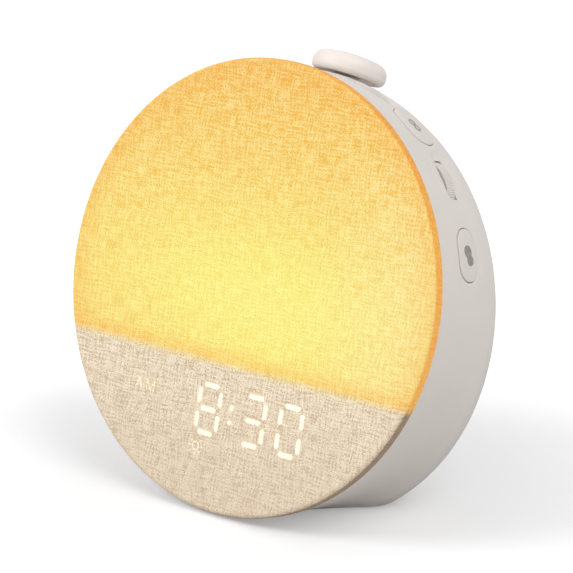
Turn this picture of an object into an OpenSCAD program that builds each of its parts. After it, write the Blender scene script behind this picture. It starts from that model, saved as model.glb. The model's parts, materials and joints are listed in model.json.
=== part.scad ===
// Sunrise alarm clock: a round, cloth-covered lamp and display on a domed shell that leans back.
// The knob, two buttons and two thumbwheels sit round the shell's top and right side.
// Millimetres. +Z is up, the front faces -Y, and the origin is the middle of the base pad's underside.

/* [Front disc] */
// Diameter of the cloth-covered front
face_d = 170; // [165:1:175]
// Angle by which the front leans back from upright
lean = 15; // [14:0.1:16.5]
// Depth of the disc's rounded rim
rim_depth = 5.5; // [5.2:0.1:6]
// Radius of the rim's front rounding
rim_round = 2; // [1.6:0.1:2.4]
// Thickness of the cloth
cloth_t = 0.8; // [0.6:0.1:1]
// Thickness of the diffuser's face
dish_t = 2; // [1.6:0.1:2.2]
// Distance from the disc's centre down to the lower edge of the lit area
glow_edge = 29.9; // [28:0.1:31]

/* [Shell] */
// Depth from the front face to the back of the dome
shell_depth = 78; // [77:0.5:81]
// How far the shell is set in from the front disc's edge
shell_step = 1; // [0.8:0.1:1.4]
// How much the shell narrows for each millimetre of depth
shell_taper = 0.036; // [0.03:0.002:0.04]
// Depth at which the straight side turns into the dome
dome_start = 42; // [40:0.5:43]
// Depth at which the shell starts to droop towards the back
droop_start = 25; // [24:0.5:27]
// How far the middle of the back lies below the disc's axis
back_drop = 36; // [34:0.5:37]
// Wall of the shell
wall = 2.6; // [2.2:0.1:2.8]
// Visible seam between the front rim and the shell
seam = 0.7; // [0.5:0.1:0.9]

/* [Base] */
// Distance from the disc's centre back to the middle of the base pad
pad_back = 19.5; // [18.5:0.5:20.5]
// Length of the rubber base pad
pad_len = 56; // [52:1:58]
// Width of the rubber base pad at its back
pad_w = 76; // [70:1:78]
// How far the pad stands below the shell
pad_proud = 0.8; // [0.5:0.1:1.2]
// Thickness of the pad
pad_t = 2; // [1.6:0.1:2.2]

/* [Knob] */
// Diameter of the knob
knob_d = 28.8; // [26:0.2:30]
// Thickness of the knob
knob_t = 8.6; // [8:0.1:10]
// Depth of the knob's axis behind the front face
knob_depth = 37.5; // [37:0.1:38.5]
// Angle round the disc at which the knob sits, from the viewer's right
knob_angle = 88; // [87:0.5:90]
// Angle between the knob's axis and the plane of the disc
knob_lean = 10.5; // [10:0.5:12]
// Gap between the knob and the shell
knob_gap = 1.5; // [1.4:0.1:2.4]
// Travel of the knob when it is pressed
knob_travel = 1; // [0.8:0.1:1.1]
// Diameter of the encoder's shaft
shaft_d = 6; // [5.6:0.1:6.2]

/* [Side controls] */
// Depth of the middle of the buttons behind the front face
button_depth = 25; // [24.6:0.1:25.4]
// Length of a button along the shell's curve
button_len = 19.6; // [18:0.2:20]
// Width of a button
button_w = 12.4; // [11.6:0.2:12.8]
// How far a button stands out of the shell
button_proud = 0.35; // [0.2:0.05:0.5]
// Travel of a button
button_travel = 0.6; // [0.4:0.1:0.7]
// Depth of the middle of the thumbwheels behind the front face
wheel_depth = 25; // [24.7:0.1:25.3]
// Diameter of a thumbwheel
wheel_d = 26; // [25:0.2:26.4]
// Width of a thumbwheel
wheel_w = 6; // [5:0.2:6.2]
// Depth of the scooped recess round a thumbwheel
scoop_depth = 1.7; // [1.4:0.1:1.8]
// Width of the scooped recess
scoop_w = 12; // [11:0.2:12.6]
// Length of the scooped recess
scoop_len = 22; // [20:0.5:23]

/* [Display] */
// Distance between the lit strokes on the left and right of a digit
digit_w = 9.8; // [9.2:0.1:10]
// Distance between the top and bottom strokes of a digit
digit_h = 17.9; // [17:0.1:18.6]
// Width of one stroke of a digit
stroke_w = 1.9; // [1.6:0.1:2.2]
// Distance between neighbouring digits
digit_pitch = 17.1; // [16.8:0.1:17.4]
// Extra distance between the two pairs of digits, where the colon is
colon_gap = 4.3; // [4:0.1:4.6]
// Middle of the display's digits, sideways from the disc's centre
display_x = 3.4; // [3:0.1:3.6]
// Distance from the lit area's edge down to the middle of the digits
digit_drop = 17.5; // [17:0.1:18]

/* [Insides] */
// Thickness of every circuit board
board_t = 1.6; // [1.2:0.1:1.7]
// Wall of the chassis tray
tray_wall = 1.6; // [1.3:0.1:2]
// Width of the front frame's ring
frame_w = 3; // [2.6:0.1:3.2]
// Diameter of the speaker's flange
speaker_d = 55; // [52:0.5:56]
// Height of the speaker's middle, from the disc's centre
speaker_y = -14; // [-15:0.5:-13]
// Diameter of the power inlet's nose
inlet_d = 7.8; // [7.4:0.1:8.2]
// Height of the power inlet above the floor
inlet_z = 14; // [13.5:0.1:15]

/* [Hidden] */

// Clearances
skin_gap = 0.05;   // between pieces that lie face to face
part_gap = 0.2;    // between pieces that are put together loosely
run_gap = 0.05;    // radial, where a shaft turns or slides in its bore
pilot_gap = 0.03;  // radial, between a screw and its pilot hole
button_gap = 0.25; // between a button and the edge of its hole
big = 400;         // larger than the clock

// Facets of the shell's curved form
form_fn = 96;
inner_fn = 72;

face_r = face_d / 2;
rim_back_round = 1.2;
floor_clear = 0.35; // between the rim's lowest point and the floor
centre_z = floor_clear + (face_r - rim_back_round) * cos(lean) + (rim_depth - rim_back_round) * sin(lean)
    + rim_back_round;
base_floor = pad_proud + wall;

// The shell is a stack of round sections. Each has a radius and a height that depend on its depth.
shell_r = face_r - shell_step;
shell_front = rim_depth + seam;
dome_power = 1.7;
shell_mid = (droop_start + dome_start) / 2;
function straight_r(s) = shell_r - shell_taper * s;
function dome_part(s, inset) = (s - dome_start) / (shell_depth - inset - dome_start);
function section_r(s, inset = 0) = s <= dome_start ? straight_r(s) - inset
    : (straight_r(dome_start) - inset) * sqrt(max(0, 1 - pow(dome_part(s, inset), dome_power)));
function section_y(s) = -back_drop * pow(max(0, s - droop_start) / (shell_depth - droop_start), 2);

// Depths of the front stack's faces, counted from the front face into the body
dish_front = cloth_t + skin_gap;
dish_back = dish_front + dish_t;
dish_rim_back = rim_depth - cloth_t - skin_gap;
hem_r = face_r - 5.5;
frame_front = rim_depth + skin_gap;
frame_lip_t = 0.6;
frame_end = 12;
lug_t = 2.5;
frame_r = section_r(frame_end, wall) - part_gap;
frame_in_r = frame_r - frame_w;
skirt_t = 1.6;
skirt_r = frame_in_r - part_gap / 2;
skirt_end = 8.5;
boss_r = 3.5;
lug_r = 4;
boss_ring_r = frame_r - 3.4;
boss_angles = [4, 112, 160, 212, 328];
flange_t = 2;
flange_front = frame_end + skin_gap;
flange_back = flange_front + flange_t;
flange_r = section_r(flange_back, wall) - part_gap;
screw_r = 1.3;
hole_r = 1.6;
head_r = 2.7;
head_t = 1.8;
screw_room = 3.4; // height of the notch that a frame screw's head needs

// Chassis tray, boards and display
tray_r = boss_ring_r - lug_r - 0.5;
tray_front = dish_back + 0.15;
tray_floor_back = 17;
tray_floor_front = tray_floor_back - tray_wall;
tray_in_r = tray_r - tray_wall;
board_edge = 0.5; // around a board in its tray
glow_board_back = tray_floor_front - skin_gap;
glow_board_front = glow_board_back - board_t;
lamp_size = 5;
lamp_t = 1.5;
lamp_pitch = 17;
divider_bottom = glow_edge + tray_wall;
mask_t = 0.2;
mask_front = tray_front + skin_gap;
reflector_front = mask_front + mask_t + skin_gap;
reflector_t = 6;
reflector_back = reflector_front + reflector_t;
bar_t = 5;
display_board_front = reflector_back + skin_gap;
display_board_back = display_board_front + board_t;
display_chip = [1.3, 0.9, 0.6];
digit_y = -(glow_edge + digit_drop);
digit_x = [for (i = [-1.5, -0.5, 0.5, 1.5]) display_x + i * digit_pitch + sign(i) * colon_gap / 2];
// Strokes a to g of each digit that are lit: nothing, then 8, 3 and 0
lit_strokes = [
    [false, false, false, false, false, false, false],
    [true, true, true, true, true, true, true],
    [true, true, true, true, false, false, true],
    [true, true, true, true, true, true, false]
];
colon_dot = 1.9;
colon_step = 5.6;
mark_pos = [-39, digit_y + 3];  // morning mark
mark_size = [10.4, 4.2];
sun_pos = [-10.7, digit_y - 14.6]; // sun mark under the digits
sun_r = 3.1;
display_top = divider_bottom + 2.4;
display_bottom = glow_edge + 29.3;
ear_bottom = glow_edge + 35;
display_post_x = [-24, 20];
display_post_y = -(glow_edge + 31.8);

// Main board on the tray's back
main_size = [84, 60];
main_pos = [-6, -4];
main_post_x = 36;
main_post_y = 25;
main_front = 27;
main_back = main_front + skin_gap + board_t;
small_screw_r = 1.05;
small_pilot_r = small_screw_r + pilot_gap;
small_head_r = 2.1;

// Side controls, as angles round the disc's axis from the viewer's right
sound_button_angle = 19.2;
volume_wheel_angle = 39.7;
light_button_angle = 56.5;
brightness_wheel_angle = 72.8;
button_flange = 1;
flange_wall = 1.2;
button_out_r = section_r(button_depth) + button_proud;
button_in_r = section_r(button_depth, wall) - 0.3;
// The shell's skin runs straight between its sections, so a flange's rear edge has to lie this much lower.
flange_drop = section_y(shell_mid) * max(0, button_depth + button_w / 2 + button_flange - droop_start)
    / (shell_mid - droop_start);
plunger_r = 1.75;
plunger_len = 2.2;
switch_size = 6;
switch_h = 3.4;
stem_r = 2.5;
switch_top = button_in_r - flange_wall - 4.6;
plunger_top = switch_top + 1;
switch_base = switch_top - switch_h;
switch_board_w = 7;
carrier_wall = 1.6;
carrier_gap = 1.1; // between a wheel's side and the carrier
carrier_front = wheel_depth - wheel_w / 2 - carrier_gap - carrier_wall;
carrier_mid_front = carrier_front + carrier_wall;
carrier_mid_back = wheel_depth + wheel_w / 2 + carrier_gap;
carrier_back = carrier_mid_back + carrier_wall;
wheel_proud = 0.3;
wheel_r = wheel_d / 2;
wheel_axis_r = section_r(wheel_depth) + wheel_proud - wheel_r;
axle_r = 1.5;
wheel_ribs = 96;
rib_depth = 0.45;
carrier_in_r = wheel_axis_r - 12;
carrier_out_r = wheel_axis_r + 5;
carrier_angles = [7.4, 76];
tube_angles = [11.2, 25.3, 56];
tube_ring_r = wheel_axis_r - 7.4;
tube_r = 3.75;
tube_bore_r = 2.95;
tube_floor = 3;
encoder_side = 10;
encoder_t = 3;

// Knob and its encoder, along the knob's axis from the shell's surface outwards
knob_edge_round = 4.2;
knob_foot_round = 0.8;
knob_dome_r = 62;
stem_hole_r = 5.4;
knob_stem_r = 5;
knob_stem_depth = 3.2;
flat_depth = 1; // how far the shaft's flat is cut in
shaft_r = shaft_d / 2;
bushing_r = 4.4;
bushing_top = -4.4;
encoder_top = -9;
encoder_bottom = encoder_top - 6.5;
encoder_w = 12.4;
cavity_r = 5.2;
cavity_top = encoder_top - 1.2;
cavity_bottom = encoder_bottom + 1.1;
rotor_r = cavity_r - 0.1;
rotor_top = cavity_top - 0.1;
rotor_t = 2.6;
shaft_bottom = cavity_bottom + knob_travel + 0.1;
shaft_top = knob_gap + 4.6;
encoder_post_x = 9;
encoder_post_r = 2.6;
encoder_board_y = [-5.8, 7];

// Speaker on the dome's inside, power inlet in the lower back
speaker_r = speaker_d / 2;
speaker_seat = shell_depth - 11.9;
gasket_t = 1;
speaker_flange_t = 1.6;
speaker_flange_back = speaker_seat - skin_gap - gasket_t - skin_gap;
speaker_flange_front = speaker_flange_back - speaker_flange_t;
seat_in_r = speaker_r - 5.3;
speaker_hole_ring = speaker_r - 2.7;
cup_back = speaker_seat - 15.1;
magnet_t = 8;
magnet_r = 15;
grille_hole_r = 1.2;
grille_pitch = 5;
grille_rings = 3;
nose_len = 6.4;
inlet_size = [9, 13, 11];
inlet_nose_y = inlet_back_y() - 0.4;
inlet_body_y = inlet_nose_y - nose_len;
inlet_board_z = inlet_z - inlet_size[2] / 2 - board_t - skin_gap;

// The shell's back on the middle plane at the inlet's height, found along the lower edge of the sections
function lower_z(s) = centre_z + (section_y(s) - section_r(s)) * cos(lean) - s * sin(lean);
function back_depth(s) = lower_z(s) >= inlet_z || s >= shell_depth ? s : back_depth(s + 0.05);
function inlet_back_y() = let (s = back_depth(dome_start + 20))
    (section_y(s) - section_r(s)) * sin(lean) + s * cos(lean) - pad_back;

// Colours as the photo shows them
shell_colour = [0.87, 0.85, 0.83];
knob_colour = [0.92, 0.89, 0.86];
cloth_colour = [0.9, 0.83, 0.73];
lamp_colour = [1, 0.85, 0.45];
white_plastic = [0.93, 0.93, 0.92];
black_plastic = [0.1, 0.1, 0.11];
board_colour = [0.1, 0.36, 0.2];
steel = [0.72, 0.72, 0.74];

$fn = 64;

// Places its children on the front disc: X to the right, Y up along the disc, Z out of the front face.
module at_face() {
    translate([0, -pad_back, centre_z]) rotate([90 - lean, 0, 0]) children();
}

// Moves its children to a depth behind the front face.
module at_depth(s) {
    translate([0, 0, -s]) children();
}

// Places its children at an angle round the disc's axis: X outwards, Y along the curve, Z to the front.
module at_side(angle, s) {
    rotate([0, 0, angle]) at_depth(s) children();
}

// Places its children on the shell under the knob: Z along the knob's axis, outwards.
module at_knob() {
    translate([0, section_y(knob_depth), -knob_depth]) rotate([0, 0, knob_angle - 90])
        translate([0, section_r(knob_depth), 0]) rotate([-(90 + knob_lean), 0, 0]) children();
}

module ring(outer, inner, thick) {
    linear_extrude(thick) difference() {
        circle(outer);
        circle(inner);
    }
}

module block(size) {
    translate([-size[0] / 2, -size[1] / 2, 0]) cube(size);
}

// Screw with its head's underside at z = 0, its shank along -Z and a cross recess in its head.
module screw(r, len, head) {
    slot = head * 1.1;
    slot_w = head * 0.28;
    difference() {
        union() {
            translate([0, 0, -len]) cylinder(h = len, r = r);
            cylinder(h = head_t, r = head);
        }
        translate([0, 0, head_t / 2]) block([slot, slot_w, head_t]);
        translate([0, 0, head_t / 2]) block([slot_w, slot, head_t]);
    }
}

// Flat shape with round ends, centred, its length along X.
module pill(len, w) {
    square([len - w, w], center = true);
    for (side = [-1, 1]) translate([side * (len - w) / 2, 0]) circle(w / 2);
}

// Tube with round joints through a list of points.
module lead(points, r) {
    for (i = [0 : len(points) - 2]) {
        step = points[i + 1] - points[i];
        span = norm(step);
        translate(points[i]) rotate([0, acos(step[2] / span), atan2(step[1], step[0])])
            cylinder(h = span, r = r, $fn = 24);
        if (i > 0) translate(points[i]) sphere(r * 1.15, $fn = 24);
    }
}

// Half section of the front disc with its rounded rim, set in from every face.
module rim_section(inset) {
    front = rim_round - inset;
    back = rim_back_round - inset;
    back_level = -rim_depth + rim_back_round;
    translate([0, -rim_round]) square([face_r - rim_round, front]);
    translate([0, back_level]) square([face_r - inset, -rim_round - back_level]);
    translate([0, -rim_depth + inset]) square([face_r - rim_back_round, back]);
    translate([face_r - rim_round, -rim_round]) intersection() {
        circle(front);
        square(front);
    }
    translate([face_r - rim_back_round, back_level]) intersection() {
        circle(back);
        translate([0, -back]) square(back);
    }
}

module front_cloth() {
    color(cloth_colour) at_face() rotate_extrude($fn = 128) difference() {
        rim_section(0);
        rim_section(cloth_t);
        translate([0, -rim_depth - 1]) square([hem_r, rim_depth + 1 - cloth_t]);
    }
}

module diffuser_dish() {
    color(lamp_colour) at_face() {
        rotate_extrude($fn = 128) difference() {
            rim_section(dish_front);
            translate([0, -rim_depth]) square([hem_r - 1, rim_depth - dish_back]);
        }
        at_depth(skirt_end) difference() {
            ring(skirt_r, skirt_r - skirt_t, skirt_end - dish_back + dish_t / 2);
            boss_places() translate([0, 0, -1]) cylinder(h = screw_room + 1, r = head_r + part_gap);
        }
    }
}

module boss_places() {
    for (a = boss_angles) rotate([0, 0, a]) translate([boss_ring_r, 0, 0]) children();
}

module front_frame() {
    lip_r = shell_r - 1.2;
    color(white_plastic) {
        at_face() at_depth(frame_front + frame_lip_t) ring(lip_r, frame_in_r, frame_lip_t);
        intersection() {
            at_face() at_depth(frame_end) {
                difference() {
                    ring(frame_r, frame_in_r, frame_end - frame_front - frame_lip_t / 2);
                    boss_places() translate([0, 0, -1])
                        cylinder(h = lug_t + 1 + screw_room, r = head_r + part_gap);
                }
                linear_extrude(lug_t) difference() {
                    intersection() {
                        circle(frame_r);
                        boss_places() circle(lug_r);
                    }
                    boss_places() circle(hole_r);
                }
            }
            above(base_floor + part_gap);
        }
    }
}

module frame_screws() {
    len = lug_t + flange_t + 10;
    color(steel) at_face() at_depth(frame_end - lug_t - skin_gap) boss_places() screw(screw_r, len, head_r);
}

// The part of a circle above or below a level line.
module part_circle(r, low, high) {
    intersection() {
        circle(r);
        translate([-big / 2, low]) square([big, high - low]);
    }
}

module main_posts() {
    for (x = [-1, 1], y = [-1, 1])
        translate([main_pos[0] + x * main_post_x, main_pos[1] + y * main_post_y, 0]) children();
}

module display_posts() {
    for (x = display_post_x) translate([x, display_post_y, 0]) children();
}

module chassis_tray() {
    post_r = 3;
    color(white_plastic) at_face() {
        difference() {
            union() {
                at_depth(tray_floor_back) difference() {
                    cylinder(h = tray_floor_back - tray_front, r = tray_r);
                    translate([0, 0, tray_wall]) cylinder(h = tray_floor_back, r = tray_in_r);
                }
                at_depth(tray_floor_back - tray_wall / 2)
                    linear_extrude(tray_floor_back - tray_front - tray_wall / 2)
                        part_circle(tray_r - tray_wall / 2, -divider_bottom, -glow_edge);
                at_depth(main_front) main_posts()
                    cylinder(h = main_front - tray_floor_back + tray_wall / 2, r = post_r);
                at_depth(tray_floor_back - tray_wall / 2) display_posts()
                    cylinder(h = tray_floor_back - tray_wall / 2 - display_board_back - skin_gap, r = post_r);
            }
            at_depth(main_front + 1) main_posts() cylinder(h = 9, r = small_pilot_r);
            at_depth(tray_floor_back - 0.8) display_posts() cylinder(h = 9, r = small_pilot_r);
        }
    }
    color(white_plastic) intersection() {
        at_face() at_depth(flange_back) linear_extrude(flange_t) difference() {
            circle(flange_r);
            circle(tray_r - tray_wall / 2);
            boss_places() circle(hole_r);
        }
        above(base_floor + part_gap);
    }
}

module glow_board() {
    color(white_plastic) at_face() at_depth(glow_board_back) linear_extrude(board_t)
        part_circle(tray_in_r - board_edge, -glow_edge + board_edge, face_r);
}

module glow_lamps() {
    reach = tray_in_r - lamp_pitch / 2;
    color(lamp_colour) at_face() at_depth(glow_board_front - skin_gap)
        for (x = [-3 : 3], y = [-1 : 3])
            if (norm([x, y]) * lamp_pitch < reach)
                translate([x * lamp_pitch, y * lamp_pitch, 0]) difference() {
                    block([lamp_size, lamp_size, lamp_t]);
                    translate([0, 0, lamp_t - 0.4]) cylinder(h = 1, r = lamp_size * 0.4, $fn = 32);
                }
}

// One stroke of a digit: a bar with bevelled ends along X.
module stroke(len, grow) {
    half = stroke_w / 2 + grow;
    tip = len / 2 + grow;
    corner = half * 0.45;
    polygon([[-tip, -half + corner], [-tip + corner, -half], [tip - corner, -half], [tip, -half + corner],
             [tip, half - corner], [tip - corner, half], [-tip + corner, half], [-tip, half - corner]]);
}

// Strokes a to g of a digit, in that order: place and turn. The level ones are longer than the upright ones.
stroke_places = [
    [0, 1, 0], [1, 0.5, 90], [1, -0.5, 90], [0, -1, 0],
    [-1, -0.5, 90], [-1, 0.5, 90], [0, 0, 0]
];
module digit(strokes, grow) {
    level_len = digit_w - 2.5;
    upright_len = digit_h / 2 - 3;
    for (i = [0 : 6]) if (strokes[i])
        translate([stroke_places[i][0] * digit_w / 2, stroke_places[i][1] * digit_h / 2])
            rotate(stroke_places[i][2]) stroke(stroke_places[i][2] == 0 ? level_len : upright_len, grow);
}

function dark(strokes) = [for (s = strokes) !s];

module lit_shapes(grow) {
    for (i = [0 : 3]) translate([digit_x[i], digit_y]) digit(lit_strokes[i], grow);
    for (side = [-1, 1]) translate([display_x, digit_y + side * colon_step / 2]) circle(colon_dot / 2 + grow);
    translate(mark_pos) square([mark_size[0] + 2 * grow, mark_size[1] + 2 * grow], center = true);
    translate(sun_pos) circle(sun_r + grow);
}

module unlit_shapes(grow) {
    for (i = [0 : 3]) translate([digit_x[i], digit_y]) digit(dark(lit_strokes[i]), grow);
}

module display_mask() {
    color(black_plastic) at_face() at_depth(mask_front + mask_t) linear_extrude(mask_t) difference() {
        part_circle(tray_in_r - part_gap, -face_r, -divider_bottom - part_gap);
        lit_shapes(part_gap);
        unlit_shapes(part_gap);
    }
}

module display_outline(bottom) {
    part_circle(tray_in_r - board_edge, -bottom, -display_top);
}

module display_reflector() {
    color(white_plastic) at_face() at_depth(reflector_back) linear_extrude(reflector_t) difference() {
        union() {
            display_outline(display_bottom);
            translate(sun_pos) circle(sun_r + 1.6);
        }
        lit_shapes(skin_gap);
        unlit_shapes(skin_gap);
    }
}

module lit_bars() {
    color([1, 1, 0.97]) at_face() at_depth(reflector_front + bar_t) linear_extrude(bar_t) lit_shapes(0);
}

module unlit_bars() {
    color([0.8, 0.8, 0.78]) at_face() at_depth(reflector_front + bar_t) linear_extrude(bar_t) unlit_shapes(0);
}

module display_board() {
    color(board_colour) at_face() at_depth(display_board_back) linear_extrude(board_t) difference() {
        display_outline(ear_bottom);
        display_posts() circle(hole_r);
    }
}

module display_lamps() {
    color(lamp_colour) at_face() at_depth(display_board_front - skin_gap) {
        for (i = [0 : 3], p = stroke_places)
            translate([digit_x[i] + p[0] * digit_w / 2, digit_y + p[1] * digit_h / 2, 0])
                rotate([0, 0, p[2]]) block(display_chip);
        for (side = [-1, 1]) translate([display_x, digit_y + side * colon_step / 2, 0]) block(display_chip);
        translate(concat(mark_pos, 0)) block(display_chip);
        translate(concat(sun_pos, 0)) block(display_chip);
    }
}

module display_screws() {
    color(steel) at_face() at_depth(display_board_front - skin_gap) display_posts()
        screw(small_screw_r, board_t + 4, small_head_r);
}

// The shell's outer form, or the same form set in by a distance.
module shell_form(inset = 0, front = shell_front, facets = form_fn) {
    straight = [front, droop_start, shell_mid, dome_start];
    dome = [for (a = [14, 26, 37, 47, 56, 65, 73, 80, 86, 88.6])
        dome_start + (shell_depth - inset - dome_start) * sin(a)];
    hull() for (s = concat(straight, dome)) translate([0, section_y(s), -s])
        cylinder(h = 0.02, r = section_r(s, inset), $fn = facets);
}

// Long box below or above a height, for cutting at the base.
module below(z) {
    translate([-big / 2, -big / 2, z - big]) cube(big);
}

module above(z) {
    translate([-big / 2, -big / 2, z]) cube(big);
}

module tube_places() {
    for (a = tube_angles) rotate([0, 0, a]) translate([tube_ring_r, 0, 0]) children();
}

module speaker_screw_places() {
    for (a = [45 : 90 : 315]) translate([0, speaker_y, 0]) rotate([0, 0, a])
        translate([speaker_hole_ring, 0, 0]) children();
}

module inlet_posts() {
    for (side = [-1, 1]) translate([side * inlet_size[0], inlet_body_y - inlet_size[1] / 2, 0]) children();
}

module encoder_posts() {
    for (side = [-1, 1]) translate([side * encoder_post_x, 0, 0]) children();
}

// Everything that grows from the inside of the shell's wall.
module shell_bosses() {
    web_w = 3;
    at_face() {
        boss_places() translate([0, 0, -shell_depth])
            cylinder(h = shell_depth - flange_back - skin_gap, r = boss_r);
        for (a = boss_angles) rotate([0, 0, a])
            translate([boss_ring_r, -web_w / 2, -dome_start])
                cube([shell_r - boss_ring_r, web_w, dome_start - flange_back - skin_gap]);
        tube_places() translate([0, 0, -shell_depth])
            cylinder(h = shell_depth - carrier_back - skin_gap, r = boss_r);
        translate([0, speaker_y, -shell_depth]) ring(speaker_r, seat_in_r, shell_depth - speaker_seat);
        at_knob() encoder_posts() translate([0, 0, encoder_bottom])
            cylinder(h = -encoder_bottom, r = encoder_post_r);
    }
    inlet_posts() cylinder(h = inlet_board_z - skin_gap, r = 2.6);
}

// Outline of a button's hole, or of its cap, as a solid along X.
module pill_along_x(len, w, from, to) {
    translate([from, 0, 0]) rotate([90, 0, 90]) linear_extrude(to - from) pill(len, w);
}

// The scoop is a capsule that lies along the curve, half sunk in the wall.
scoop_r = (pow(scoop_w / 2, 2) + pow(scoop_depth, 2)) / (2 * scoop_depth);
scoop_half = (scoop_len - scoop_w) / 2;
module scoop() {
    translate([section_r(wheel_depth) - scoop_depth + scoop_r, 0, 0]) {
        rotate([90, 0, 0]) cylinder(h = 2 * scoop_half, r = scoop_r, center = true, $fn = 96);
        for (side = [-1, 1]) translate([0, side * scoop_half, 0]) sphere(scoop_r, $fn = 96);
    }
}

// Where the wheel's rim passes the wall, with a gap all round.
wheel_slot_gap = 0.5;
function half_chord(r, d) = sqrt(max(0, pow(r, 2) - pow(d, 2)));
wheel_slot_len = 2 * half_chord(wheel_r, section_r(wheel_depth, wall) - wheel_axis_r) + 2 * wheel_slot_gap;

module wheel_slot() {
    from = section_r(wheel_depth, wall) - 2;
    floor_r = section_r(wheel_depth) - scoop_depth;
    slot_len = 2 * half_chord(wheel_r, floor_r - wheel_axis_r) + 2 * wheel_slot_gap;
    slot_w = wheel_w + 2 * wheel_slot_gap;
    translate([from, -slot_len / 2, -slot_w / 2]) cube([8, slot_len, slot_w]);
    translate([wheel_axis_r, 0, 0])
        cylinder(h = slot_w, r = wheel_r + wheel_slot_gap, center = true, $fn = 96);
}

module grille_holes() {
    translate([0, speaker_y, -shell_depth - 1]) {
        cylinder(h = 12, r = grille_hole_r, $fn = 24);
        for (k = [1 : grille_rings], i = [0 : 6 * k - 1]) rotate([0, 0, i * 60 / k])
            translate([k * grille_pitch, 0, 0]) cylinder(h = 12, r = grille_hole_r, $fn = 24);
    }
}

module shell_cuts() {
    hole_len = button_len + 2 * button_gap;
    hole_w = button_w + 2 * button_gap;
    at_face() {
        for (a = [sound_button_angle, light_button_angle]) at_side(a, button_depth)
            pill_along_x(hole_len, hole_w, button_in_r - 1, button_out_r + 6);
        for (a = [volume_wheel_angle, brightness_wheel_angle]) at_side(a, wheel_depth) {
            scoop();
            wheel_slot();
        }
        at_knob() {
            translate([0, 0, -8]) cylinder(h = 16, r = stem_hole_r);
            encoder_posts() translate([0, 0, encoder_bottom - 1]) cylinder(h = 9, r = small_pilot_r);
        }
        at_depth(flange_back + 12) boss_places() cylinder(h = 13, r = screw_r + pilot_gap);
        at_depth(carrier_back + 9) tube_places() cylinder(h = 10, r = small_pilot_r);
        at_depth(speaker_seat + 4.5) speaker_screw_places() cylinder(h = 6, r = small_pilot_r);
        grille_holes();
    }
    inlet_posts() translate([0, 0, inlet_board_z - 4]) cylinder(h = 5, r = small_pilot_r);
    translate([0, inlet_body_y - 1, inlet_z]) rotate([-90, 0, 0])
        cylinder(h = 20, r = inlet_d / 2 + part_gap);
    translate([0, inlet_nose_y, inlet_z]) rotate([-90, 0, 0]) cylinder(h = 20, r = inlet_d / 2 + 2);
    translate([0, 0, -1]) linear_extrude(pad_t + skin_gap + 1) pad_outline(part_gap);
}

module rear_shell() {
    color(shell_colour) difference() {
        union() {
            difference() {
                at_face() shell_form();
                intersection() {
                    at_face() shell_form(wall, shell_front - 1, inner_fn);
                    above(base_floor);
                }
            }
            intersection() {
                shell_bosses();
                at_face() shell_form(wall / 2, shell_front, inner_fn);
                above(base_floor - wall / 2);
            }
        }
        below(pad_proud);
        shell_cuts();
    }
}

// Rounded three-cornered outline of the base pad.
module pad_outline(grow) {
    front_r = 9;
    rear_r = 12;
    hull() {
        translate([0, -pad_len / 2 + front_r]) circle(front_r + grow, $fn = 48);
        for (side = [-1, 1]) translate([side * (pad_w / 2 - rear_r), pad_len / 2 - rear_r])
            circle(rear_r + grow, $fn = 48);
    }
}

module base_pad() {
    color([0.55, 0.54, 0.53]) linear_extrude(pad_t) pad_outline(0);
}

// Round profile of the knob: flat underside, rounded foot and edge, low dome on top.
module knob_profile() {
    r = knob_d / 2;
    waist = knob_t - knob_edge_round - (pow(r, 2) / (2 * knob_dome_r)) * 0.6;
    intersection() {
        union() {
            square([r - knob_foot_round, waist]);
            translate([0, knob_foot_round]) square([r, waist - knob_foot_round]);
            translate([r - knob_foot_round, knob_foot_round]) circle(knob_foot_round);
            translate([0, waist]) square([r - knob_edge_round, knob_t - waist]);
            translate([r - knob_edge_round, waist]) circle(knob_edge_round);
        }
        square([r, knob_t]);
        translate([0, knob_t - knob_dome_r]) circle(knob_dome_r, $fn = 256);
    }
}

// Round bar with a flat on its +X side.
module d_bar(r, len) {
    intersection() {
        cylinder(h = len, r = r);
        translate([-big / 2 + r - flat_depth, 0, 0]) translate([-big / 2, -big / 2, 0]) cube([big, big, len]);
    }
}

module knob_cap() {
    color(knob_colour) at_face() at_knob() difference() {
        union() {
            translate([0, 0, knob_gap]) rotate_extrude($fn = 128) knob_profile();
            translate([0, 0, -knob_stem_depth]) cylinder(h = knob_stem_depth + knob_gap + 1, r = knob_stem_r);
        }
        translate([0, 0, -knob_stem_depth - 1])
            d_socket(shaft_r + pilot_gap, shaft_top + knob_stem_depth + 1 + skin_gap);
    }
}

// Hole for a shaft with a flat, a little larger than the shaft all round.
module d_socket(r, len) {
    difference() {
        cylinder(h = len, r = r);
        translate([r - flat_depth, -big / 2, -1]) cube([big, big, len + 2]);
    }
}

module encoder_shaft() {
    flat_x = shaft_r - flat_depth;
    color(steel) at_face() at_knob() difference() {
        translate([0, 0, shaft_bottom]) cylinder(h = shaft_top - shaft_bottom, r = shaft_r);
        translate([flat_x, -big / 2, -knob_stem_depth - 0.8]) cube([big, big, big]);
        translate([flat_x, -big / 2, shaft_bottom - 1])
            cube([big, big, rotor_top + knob_travel + 0.5 - (shaft_bottom - 1)]);
    }
}

module encoder_rotor() {
    color(black_plastic) at_face() at_knob() translate([0, 0, rotor_top - rotor_t]) difference() {
        cylinder(h = rotor_t, r = rotor_r);
        translate([0, 0, -1]) d_socket(shaft_r + run_gap, rotor_t + 2);
    }
}

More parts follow.
